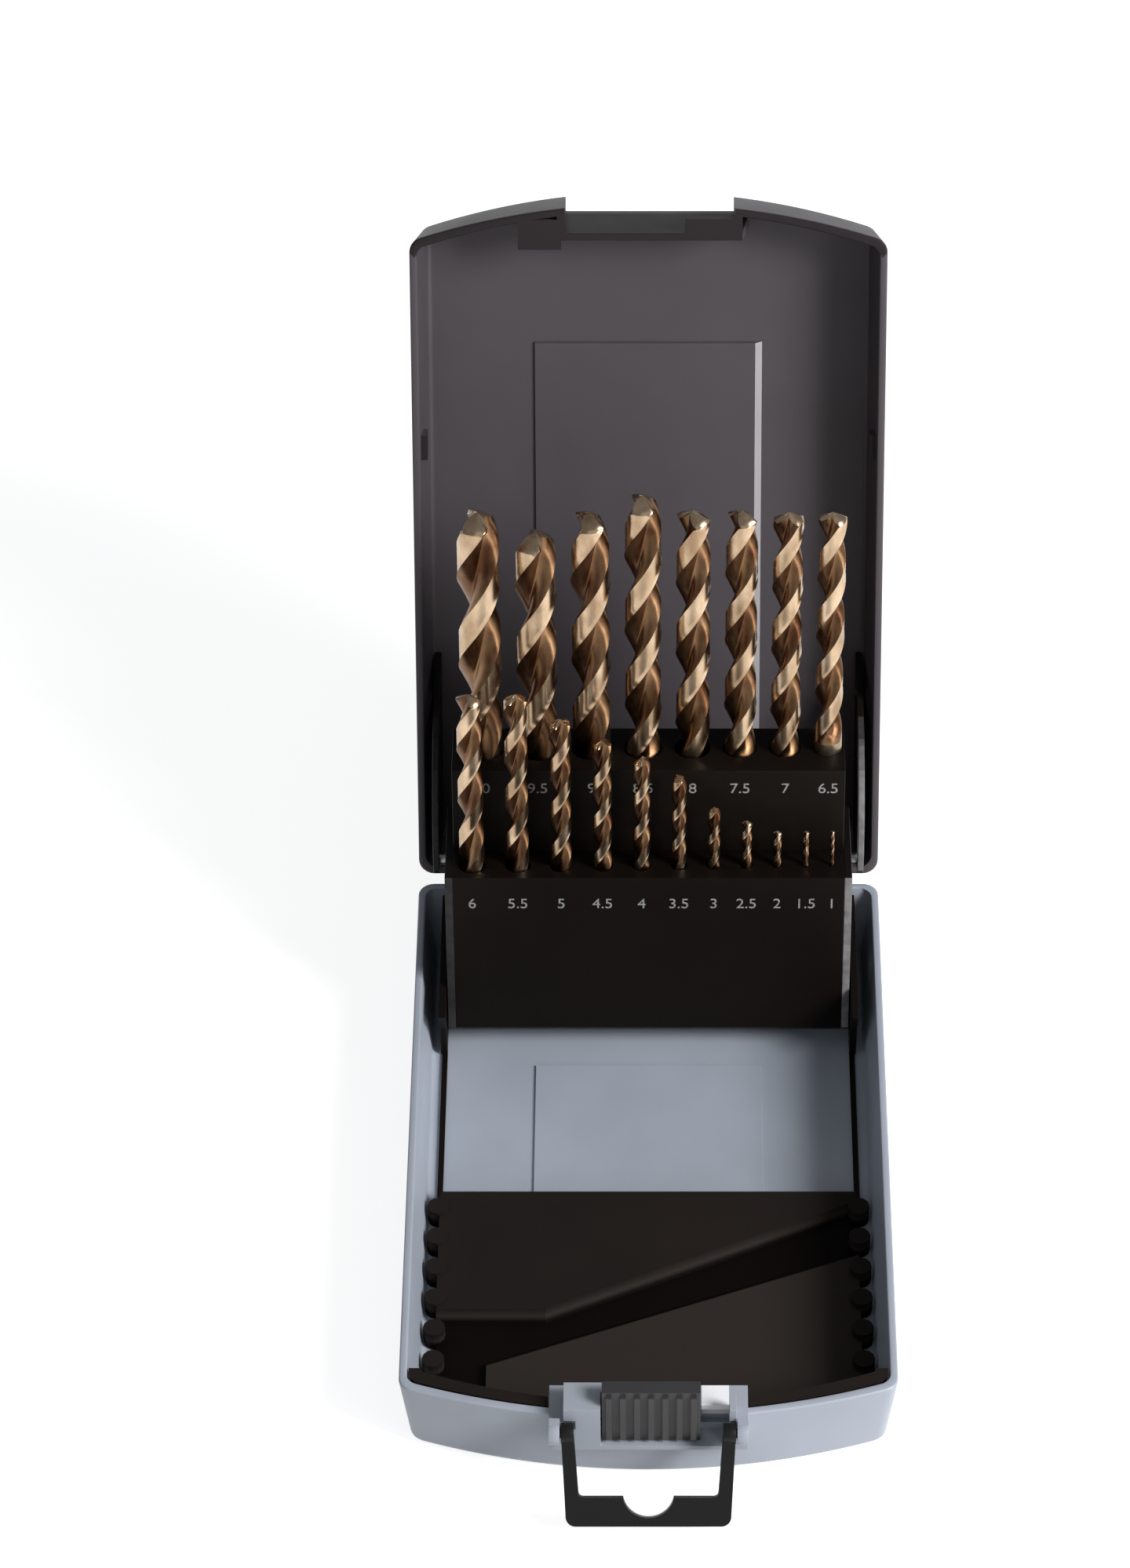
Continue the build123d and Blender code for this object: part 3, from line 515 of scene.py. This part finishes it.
TONGUE_THICK = 2.8 * MM
BOSS_WIDTH = 10.8 * MM              # the boss is left of the notch
BOSS_LENGTH = 8.0 * MM
BOSS_DEPTH = 12.0 * MM
STOP_ALONG = (105.0 * MM, 111.0 * MM)
STOP_DEPTH = (2.2 * MM, 7.2 * MM)
STOP_INSET = (1.4 * MM, 3.4 * MM)
RIM_BAND = 0.45 * MM                # faces this near the far rim get the painted shade
END_WALL_TILT = 0.5                 # how far a normal leans along the lid on its end wall
SIDE_WALL_TILT = 0.9                # and across it on a side wall

HALF_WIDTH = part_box("base_shell")[1].x
HINGE = Vector(joint_named("lid_hinge")["pos_m"])
LID_LEAN = radians(22.0)            # the open lid leans back from upright
SLOPE = tan(radians(DRAFT))


class Tray:
    """Frame of one shell: across, along from the hinge, and depth below its rim."""

    def __init__(self, along, down, height, edge_round):
        self.along = Vector(along)
        self.down = Vector(down)
        self.height = height
        self.floor = height - PLATE
        self.edge_round = edge_round

    def place(self, x, along, depth):
        """The point of the scene at these measures."""
        return HINGE + Vector((x, 0, 0)) + self.along * along + self.down * (depth + RIM_GAP)


BASE = Tray((0, -1, 0), (0, 0, -1), HINGE.z - RIM_GAP, BOTTOM_ROUND)
COVER = Tray((0, sin(LID_LEAN), cos(LID_LEAN)), (0, cos(LID_LEAN), -sin(LID_LEAN)),
             LID_HEIGHT - RIM_GAP, TOP_ROUND)


def arc(centre, radius, start, end, steps):
    """Points on an arc, both ends included, from degrees to degrees."""
    for step in range(steps + 1):
        turn = radians(start + (end - start) * step / steps)
        yield centre[0] + radius * cos(turn), centre[1] + radius * sin(turn)


def plan_outline(inset, corner):
    """Plan of the case, as (across, along): straight sides and a curved front."""
    half = HALF_WIDTH - inset
    rear = REAR_SETBACK + inset
    sweep = (half ** 2 + FRONT_SAGITTA ** 2) / (2 * FRONT_SAGITTA)
    centre = FRONT_LENGTH - inset - sweep
    beside = half - corner
    ahead = centre + ((sweep - corner) ** 2 - beside ** 2) ** 0.5
    turn = degrees(atan2(ahead - centre, beside))
    yield from arc((beside, rear + corner), corner, -90, 0, ARC_STEPS)
    yield from arc((beside, ahead), corner, 0, turn, ARC_STEPS)
    yield from list(arc((0, centre), sweep, turn, 180 - turn, FRONT_STEPS))[1:-1]
    yield from arc((-beside, ahead), corner, 180 - turn, 180, ARC_STEPS)
    yield from arc((-beside, rear + corner), corner, 180, 270, ARC_STEPS)


def shell_profile(tray):
    """Half section as (inset, depth), from the underside round the rim to the floor."""
    def round_foot(depth, start, radius):
        """Arc from the drafted wall that starts at an inset into a flat at a depth."""
        centre = start + (depth - radius) * SLOPE + radius / cos(radians(DRAFT))
        return list(arc((centre, depth - radius), radius, 180 - DRAFT, 90, ARC_STEPS))

    yield from round_foot(tray.height, 0.0, tray.edge_round)[::-1]
    yield from arc((RIM_ROUND, RIM_ROUND), RIM_ROUND, 180, 270, ARC_STEPS // 2)
    yield from arc((WALL - RIM_ROUND, RIM_ROUND), RIM_ROUND, 270, 360, ARC_STEPS // 2)
    yield from round_foot(tray.floor, WALL, INNER_ROUND)


def skin_rings(bm, rings, closed=False):
    """Quads between neighbouring rings of as many vertices; open ends get a face."""
    pairs = list(zip(rings, rings[1:])) + ([(rings[-1], rings[0])] if closed else [])
    for low, high in pairs:
        for step in range(len(low)):
            after = (step + 1) % len(low)
            bm.faces.new((low[step], low[after], high[after], high[step]))
    if not closed:
        bm.faces.new(rings[0][::-1])
        bm.faces.new(rings[-1])


def tray_mesh(bm, tray):
    """One whole tray: its half section carried round the plan.

    Past the crest of the rim the plan's corners are tighter by the wall."""
    rings = []
    for inset, depth in shell_profile(tray):
        past_rim = len(rings) > 2 * ARC_STEPS
        corner = CORNER - WALL if past_rim else CORNER
        rings.append([bm.verts.new(tray.place(x, along, depth))
                      for x, along in plan_outline(inset, corner)])
    skin_rings(bm, rings)


def prism(bm, tray, across, along, depth, draft=(0, 0, 0, 0)):
    """A block given by its ranges, its four sides leaning out by shares of the draft."""
    rings = []
    for level in depth:
        lean = (level - depth[0]) * SLOPE
        left, right, near, far = (lean * share for share in draft)
        corners = ((across[0] - left, along[0] - near), (across[1] + right, along[0] - near),
                   (across[1] + right, along[1] + far), (across[0] - left, along[1] + far))
        rings.append([bm.verts.new(tray.place(x, y, level)) for x, y in corners])
    skin_rings(bm, rings)


def rod(bm, start, length, radius, bore=None):
    """A round bar or tube along the hinge."""
    rings = []
    ends = [(start, radius), (start + length, radius)]
    if bore:
        ends += [(start + length, bore), (start, bore)]
    for x, reach in ends:
        turns = [2 * pi * side / KNUCKLE_SIDES for side in range(KNUCKLE_SIDES)]
        rings.append([bm.verts.new(HINGE + Vector((x, reach * cos(t), reach * sin(t))))
                      for t in turns])
    skin_rings(bm, rings, closed=bool(bore))


def knuckle_start(index):
    """Left end of a knuckle, with the whole row in the middle."""
    run = KNUCKLE_COUNT * KNUCKLE_LENGTH + (KNUCKLE_COUNT - 1) * KNUCKLE_GAP
    return -run / 2 + index * (KNUCKLE_LENGTH + KNUCKLE_GAP)


def finished(bm, name):
    """An object of the scene from a closed mesh, shaded smooth."""
    bmesh.ops.recalc_face_normals(bm, faces=bm.faces)
    for face in bm.faces:
        face.smooth = True
    mesh = bpy.data.meshes.new(name)
    bm.to_mesh(mesh)
    bm.free()
    obj = bpy.data.objects.new(name, mesh)
    bpy.context.scene.collection.objects.link(obj)
    return obj


def apply_modifiers(obj):
    """Bake an object's modifiers into its mesh."""
    mesh = bpy.data.meshes.new_from_object(obj.evaluated_get(
        bpy.context.evaluated_depsgraph_get()))
    obj.modifiers.clear()
    obj.data = mesh


def combine(obj, tools, operation="DIFFERENCE"):
    """Take the tools' volume off an object, or with UNION add it."""
    for tool in tools:
        modifier = obj.modifiers.new("combine", "BOOLEAN")
        modifier.operation = operation
        modifier.solver = "EXACT"
        modifier.use_self = operation == "UNION"
        modifier.object = tool
        apply_modifiers(obj)
        bpy.data.objects.remove(tool)


def tool_of(name, build):
    """An object from a function that fills a mesh."""
    bm = bmesh.new()
    build(bm)
    return finished(bm, name)


def hinge_reliefs(own):
    """Tools that make room in the own shell (0 base, 1 lid) for the other's knuckles."""
    for index in range(KNUCKLE_COUNT):
        if index % 2 != own:
            yield tool_of(f"relief_{index}", lambda bm: rod(
                bm, knuckle_start(index) - KNUCKLE_GAP, KNUCKLE_LENGTH + 2 * KNUCKLE_GAP,
                KNUCKLE_RADIUS + KNUCKLE_RELIEF))


def knuckles(bm, own):
    """Every second knuckle: own is 0 for the base's, which start first, or 1 for the lid's."""
    for index in range(own, KNUCKLE_COUNT, 2):
        rod(bm, knuckle_start(index), KNUCKLE_LENGTH, KNUCKLE_RADIUS, KNUCKLE_BORE)


def between(value, bounds):
    """Whether a value lies between two bounds."""
    return bounds[0] < value < bounds[1]


def lid_zone(centre, normal):
    """Zone of the lid that a face belongs to.

    The flank is the right side of the panel and gets a painted highlight. The painted shade covers
    the far rim, the corner by the notch and the stops."""
    offset = centre - HINGE
    along = offset.dot(COVER.along)
    depth = offset.dot(COVER.down)
    inside = depth < COVER.height - PLATE / 2
    # faces of the panel's right flank get the painted highlight
    on_right = between(offset.x, (0, PANEL_HALF)) and between(normal.x, FLANK_TILT)
    if inside and on_right and between(along, LID_PANEL):
        return "flank"
    on_rim = depth < RIM_BAND and along > CORNER_LENGTH - CORNER
    by_notch = along > NOTCH_FLOOR - 2 * WALL
    by_notch = by_notch and between(offset.x, (NOTCH[0] - BOSS_WIDTH, NOTCH[1] + WALL))
    looks_out = normal.dot(COVER.along) > END_WALL_TILT and not between(offset.x, NOTCH)
    in_stop = between(along, STOP_ALONG) and between(depth, STOP_DEPTH)
    on_side = abs(normal.x) > SIDE_WALL_TILT and abs(offset.x) > HALF_WIDTH - WALL / 2
    # the far rim, the faces by the notch and the stops get the painted shade
    if on_rim or (inside and by_notch and not looks_out) or (in_stop and not on_side):
        return "painted_shade"
    return "face"


def colour_lid(mesh):
    """Give each of the lid's faces the material of its zone."""
    zones = list(LID_ZONES)
    for zone in zones[1:]:
        mesh.materials.append(LID_ZONES[zone])
    for face in mesh.polygons:
        face.material_index = zones.index(lid_zone(face.center, face.normal))


def finish_shell(shell, details, body, node, material):
    """Add the details to a shell, soften what was cut and put it in its node's place."""
    combine(shell, [tool_of("details", details)], "UNION")
    shell.data.set_sharp_from_angle(angle=radians(SHELL_SMOOTH))
    shell.data.materials.clear()
    shell.data.materials.append(material)
    soften(shell, SHELL_SOFT, SHELL_SHARP)
    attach(shell, body)
    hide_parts(node)


def make_base():
    """The base: a tray with the latch housing's seat, three knuckles and a floor panel."""
    shell = tool_of("base_tray", lambda bm: tray_mesh(bm, BASE))
    low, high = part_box("latch_housing")
    seat = tool_of("housing_seat", lambda bm: prism(
        bm, BASE, (low.x, high.x), (HINGE.y - HOUSING_REAR, HINGE.y - low.y + CUT_MARGIN),
        (-CUT_MARGIN, HINGE.z - RIM_GAP - low.z)))
    combine(shell, [seat, *hinge_reliefs(0)])

    def details(bm):
        """Knuckles and the raised panel of the floor."""
        knuckles(bm, 0)
        prism(bm, BASE, (-PANEL_HALF, PANEL_HALF), FLOOR_PANEL,
              (BASE.floor - FLOOR_PANEL_RISE, BASE.floor + FLOOR_PANEL_RISE))

    finish_shell(shell, details, "base", "base_shell", GREY)


def make_shade_strips():
    """Two thin black strips on the base's floor: painted shade along the foot of the side walls.
    """
    for name, side in (("floor_shade_strip_left", -1), ("floor_shade_strip_right", 1)):
        across = sorted(side * (SHADE_STRIP_INNER + width) for width in (0, SHADE_STRIP_WIDTH))
        strip = tool_of(name, lambda bm: prism(
            bm, BASE, across, SHADE_STRIP_ALONG, (BASE.floor - SHADE_STRIP_HEIGHT, BASE.floor + SHADE_STRIP_SINK)))
        strip.data.set_sharp_from_angle(angle=radians(SHELL_SMOOTH))
        strip.data.materials.append(BLACK)
        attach(strip, "base")


def lid_panel(bm):
    """Inner face of the lid's panel, with a wide flank on its right."""
    right = PANEL_HALF - PANEL_FLANK * PANEL_RISE * SLOPE
    prism(bm, COVER, (-PANEL_HALF, right), LID_PANEL,
          (COVER.floor - PANEL_RISE, COVER.floor + PANEL_RISE / 2),
          draft=(PANEL_DRAFT, PANEL_FLANK, PANEL_DRAFT, PANEL_DRAFT))


def notch_walls(bm):
    """Rear and side walls of the latch notch, down into the lid's plate."""
    depth = (0.0, COVER.floor + PLATE / 2)
    prism(bm, COVER, (NOTCH[0] - WALL, NOTCH[1] + WALL), (NOTCH_FLOOR - WALL, NOTCH_FLOOR),
          depth, draft=(1, 1, 1, 0))
    for left in (NOTCH[0] - WALL, NOTCH[1]):
        prism(bm, COVER, (left, left + WALL), (NOTCH_FLOOR - WALL / 2, FRONT_LENGTH - NOTCH_SHORT),
              depth, draft=(0, 0, 0, -1))


def tongue_and_boss(bm):
    """The tongue in the notch that the latch hooks, and the boss left of the notch."""
    prism(bm, COVER, (TONGUE_LEFT, NOTCH[1] + WALL / 2),
          (NOTCH_FLOOR - WALL / 2, NOTCH_FLOOR + TONGUE_REACH), (0.0, TONGUE_THICK))
    prism(bm, COVER, (NOTCH[0] - BOSS_WIDTH, NOTCH[0] - WALL / 2),
          (NOTCH_FLOOR - BOSS_LENGTH / 2, NOTCH_FLOOR + BOSS_LENGTH / 2 - WALL / 2),
          (0.0, BOSS_DEPTH), draft=(0, 0, 0, -1))


def side_stops(bm):
    """A stop on the inner face of each of the lid's side walls."""
    for side in (-1, 1):
        across = sorted(side * (HALF_WIDTH - inset) for inset in STOP_INSET)
        prism(bm, COVER, across, STOP_ALONG, STOP_DEPTH)


def make_lid():
    """The lid: a tray with the latch notch, a pressed panel, two knuckles and its details."""
    shell = tool_of("lid_tray", lambda bm: tray_mesh(bm, COVER))
    notch = tool_of("latch_notch", lambda bm: prism(
        bm, COVER, NOTCH, (NOTCH_FLOOR, FRONT_LENGTH + CUT_MARGIN),
        (-CUT_MARGIN, COVER.height + CUT_MARGIN)))
    pressed = tool_of("pressed_panel", lambda bm: prism(
        bm, COVER, (-PANEL_HALF, PANEL_HALF), LID_PANEL,
        (COVER.height - PANEL_RISE, COVER.height + CUT_MARGIN)))
    combine(shell, [notch, pressed, *hinge_reliefs(1)])

    def details(bm):
        """Knuckles and all that stands on the lid's inner side."""
        knuckles(bm, 1)
        lid_panel(bm)
        notch_walls(bm)
        tongue_and_boss(bm)
        side_stops(bm)

    finish_shell(shell, details, "lid", "lid_shell", LID)
    colour_lid(shell.data)


# ---- drills: shank, two helical flutes with lands and margins, point ----------
HELIX_PITCH = 4.9                   # over the diameter
FOOT_CHAMFER = 0.06                 # over the diameter
WEB = 0.3                           # web half thickness over the radius
FLUTE_HOLLOW = 1.7                  # power of the flute's depth from its middle to a land
LAND_HALF = 36.0                    # half the width of a land, in degrees
MARGIN = 9.0                        # degrees of the raised strip at the front of each land
BODY_CLEARANCE = 0.965              # share of the radius that is left behind the margin
POINT_HALF = 65.0                   # degrees from the axis to the cutting lips
POINT_RINGS = (1.0, 0.66, 0.33)     # shares of the section, from the body to the tip
LIP_RELIEF = 11.0                   # degrees that the flanks fall away behind the lips
RUN_OUT = 0.9                       # length over which a flute fades out, over the diameter
SECTION = 44                        # points round the section
TURN_STEP = 12.0                    # degrees between two rings
FLUTE_LENGTHS = {                   # mm, by diameter: the standard jobber drills
    10.0: 87, 9.5: 81, 9.0: 81, 8.5: 75, 8.0: 75, 7.5: 69, 7.0: 69, 6.5: 63,
    6.0: 57, 5.5: 57, 5.0: 52, 4.5: 47, 4.0: 43, 3.5: 39, 3.0: 33, 2.5: 30, 2.0: 24, 1.5: 18,
    1.0: 12,
}

PIVOT = Vector(joint_named("holder_pivot")["pos_m"])
UP = Vector(joint_named("drill_6_0_mm_lift")["axis"]).normalized()
REAR = Vector((1, 0, 0)).cross(UP) * -1


def diameter_of(node_name):
    """Diameter in mm from a name such as drill_2_5_mm."""
    return float(node_name[len("drill_"):-len("_mm")].replace("_", "."))


def section_reach(angle):
    """Share of the radius at an angle round the drill, and what lies there."""
    half = (angle + 90) % 180 - 90
    if abs(half) <= LAND_HALF:
        if half > LAND_HALF - MARGIN:
            return 1.0, "land"
        return BODY_CLEARANCE, "land"
    towards_land = (90 - abs(half)) / (90 - LAND_HALF)
    return WEB + (BODY_CLEARANCE - WEB) * towards_land ** FLUTE_HOLLOW, "flute"


def eased(share):
    """A share from 0 to 1 that starts and ends gently."""
    return share * share * (3 - 2 * share)


def drill_rings(radius, flute):
    """Heights, twists and flute depths of the rings from the end of the shank to the point."""
    pitch = 2 * radius * HELIX_PITCH
    point = radius / tan(radians(POINT_HALF))
    count = int((flute - point) / pitch * 360 / TURN_STEP) + 1
    for index in range(count + 1):
        height = (flute - point) * index / count
        share = min(1.0, height / (2 * radius * RUN_OUT))
        yield height, height / pitch * 360, eased(share)


def round_section(radius):
    """Reach and rise of a plain round section at each angle."""
    return lambda angle: (radius, 0)


def fluted_section(radius, depth):
    """The same with flutes of a share of their full depth."""
    return lambda angle: (radius * (1 - depth * (1 - section_reach(angle)[0])), 0)


def point_section(radius, share):
    """The same for the point's surface, at a share of the section."""
    def reach_of(angle):
        """Reach and rise: a cone whose flanks fall away behind the lips."""
        reach = radius * section_reach(angle)[0] * share
        behind = (LAND_HALF - ((angle + 90) % 180 - 90)) % 180
        fall = reach * tan(radians(LIP_RELIEF)) * radians(min(behind, 2 * LAND_HALF))
        return reach, (radius - reach) / tan(radians(POINT_HALF)) - fall
    return reach_of


def body_zone(angle):
    """Flute or land, by the angle."""
    return section_reach(angle)[1]


class DrillMesh:
    """A drill under construction: rings of points, stacked along the holder's upward axis."""

    zones = list(DRILL_ZONES)

    def __init__(self, foot):
        self.bm = bmesh.new()
        self.foot = foot
        self.last = []

    def ring(self, height, section, twist=0.0):
        """A new ring of a section, turned by a twist in degrees."""
        ring = []
        for step in range(SECTION):
            angle = 360 * step / SECTION
            turn = radians(angle + twist)
            reach, rise = section(angle)
            place = self.foot + UP * (height + rise) + REAR * (reach * sin(turn))
            ring.append(self.bm.verts.new(place + Vector((reach * cos(turn), 0, 0))))
        return ring

    def face(self, corners, zone):
        """A flat face in a zone."""
        face = self.bm.faces.new(corners)
        face.material_index = self.zones.index(zone)
        return face

    def start(self, section):
        """The first ring, closed by a dark foot."""
        self.last = self.ring(0, section)
        self.face(self.last[::-1], "flute")

    def grow(self, height, section, zone_of, twist=0.0):
        """Carry the skin on to a new ring, each face in the zone of its angle."""
        ring = self.ring(height, section, twist)
        for step in range(SECTION):
            after = (step + 1) % SECTION
            corners = (self.last[step], self.last[after], ring[after], ring[step])
            face = self.face(corners, zone_of(360 * (step + 0.5) / SECTION))
            face.smooth = True
        self.last = ring

    def close(self, height):
        """Bring the last ring together in a tip."""
        tip = self.bm.verts.new(self.foot + UP * height)
        for step in range(SECTION):
            self.face((self.last[step], self.last[(step + 1) % SECTION], tip), "land")

    def finished(self, name):
        """The mesh with its materials, and with hard edges between its zones."""
        for edge in self.bm.edges:
            edge.smooth = len({face.material_index for face in edge.link_faces}) == 1
        mesh = bpy.data.meshes.new(name)
        self.bm.to_mesh(mesh)
        self.bm.free()
        for material in DRILL_ZONES.values():
            mesh.materials.append(material)
        return mesh


def drill_mesh(name, diameter, length, flute, foot):
    """One whole drill, from its foot over the shank and the flutes to the point."""
    radius = diameter / 2
    chamfer = FOOT_CHAMFER * diameter
    shank = length - flute
    drill = DrillMesh(foot)
    drill.start(round_section(radius - chamfer))
    for height in (chamfer, shank):
        drill.grow(height, round_section(radius), lambda angle: "shank")
    rings = list(drill_rings(radius, flute))[1:]
    for height, twist, depth in rings[:-1]:
        drill.grow(shank + height, fluted_section(radius, depth), body_zone, twist)
    body_height, body_twist, _ = rings[-1]
    for share in POINT_RINGS:
        zone_of = body_zone if share == POINT_RINGS[0] else lambda angle: "land"
        drill.grow(shank + body_height, point_section(radius, share), zone_of, body_twist)
    drill.close(shank + body_height + radius / tan(radians(POINT_HALF)))
    return drill.finished(name)


def make_drill(node_name):
    """Replace a faceted drill of the frame by a finely shaped one in the same place."""
    diameter = diameter_of(node_name)
    radius = diameter * MM / 2
    heights = [UP.dot(v.co) for v in NODES[node_name].data.vertices]
    low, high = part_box(node_name)
    foot = Vector(((low.x + high.x) / 2, low.y + radius * UP.z, low.z + radius * UP.y))
    mesh = drill_mesh(f"{node_name}_fine", diameter * MM, max(heights) - min(heights),
                      FLUTE_LENGTHS[diameter] * MM, foot)
    drill = bpy.data.objects.new(f"{node_name}_fine", mesh)
    bpy.context.scene.collection.objects.link(drill)
    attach(drill, node_name)
    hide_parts(node_name)


# ---- sizes printed on the holder's two blocks ---------------------------------
TEXT_SIZE = 4.0 * MM
TEXT_LIFT = 0.04 * MM               # ink over the block's face
TEXT_GAP = 0.004 * MM               # the letters' corners this close are one corner
FRONT_TEXT_DROP = 7.6 * MM          # below the block's top edge
BACK_TEXT_DROP = 5.2 * MM
LARGEST_IN_FRONT = 6.0              # diameter of the thickest drill in the front block


def letters(label):
    """A thin mesh of a label's letters, centred, as the font gives it."""
    curve = bpy.data.curves.new(f"size_{label}", "FONT")
    curve.body = label
    curve.size = TEXT_SIZE
    curve.align_x = "CENTER"
    curve.align_y = "CENTER"
    curve.extrude = TEXT_LIFT
    text = bpy.data.objects.new("text", curve)
    bpy.context.scene.collection.objects.link(text)
    mesh = bpy.data.meshes.new_from_object(text.evaluated_get(
        bpy.context.evaluated_depsgraph_get()))
    bpy.data.objects.remove(text)
    return mesh


def join_caps(mesh):
    """Weld the letters' front and back to their sides and drop empty faces."""
    bm = bmesh.new()
    bm.from_mesh(mesh)
    bmesh.ops.remove_doubles(bm, verts=bm.verts, dist=TEXT_GAP)
    bmesh.ops.dissolve_degenerate(bm, dist=TEXT_GAP, edges=bm.edges)
    bm.to_mesh(mesh)
    bm.free()


def print_size(node_name):
    """A drill's size on the front face of its block, below its hole."""
    low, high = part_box(node_name)
    in_front = diameter_of(node_name) <= LARGEST_IN_FRONT
    block = NODES["front_row_block" if in_front else "back_row_block"].data
    drop = FRONT_TEXT_DROP if in_front else BACK_TEXT_DROP
    face = min(REAR.dot(v.co - PIVOT) for v in block.vertices)
    top = max(UP.dot(v.co - PIVOT) for v in block.vertices)
    centre = PIVOT + REAR * face + UP * (top - drop)
    middle = (low.x + high.x) / 2
    label = f"{diameter_of(node_name):g}"
    mesh = letters(label)
    for vertex in mesh.vertices:
        across, along, out = vertex.co
        vertex.co = centre + Vector((middle + across, 0, 0)) + UP * along - REAR * out
    join_caps(mesh)
    mesh.materials.clear()
    mesh.materials.append(INK)
    printed = bpy.data.objects.new("size_" + label.replace(".", "_"), mesh)
    bpy.context.scene.collection.objects.link(printed)
    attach(printed, "holder")


# ---- the scene ------------------------------------------------------------------
make_camera()
make_lamp("key", KEY_PLACE, KEY_SIZE, KEY_POWER)
make_lamp("fill", FILL_PLACE, FILL_SIZE, FILL_POWER)
make_lamp("glint", GLINT_PLACE, GLINT_SIZE, GLINT_POWER)
make_world()
make_floor()

make_base()
make_shade_strips()
make_lid()
drill_names = [name for name in NODES if name.startswith("drill_")]
remade = {"base_shell", "lid_shell", *drill_names}
for name, node in NODES.items():
    if name not in remade:
        dress_node(name, node)
for name in drill_names:
    make_drill(name)
    print_size(name)

bpy.context.scene.view_settings.view_transform = "Standard"
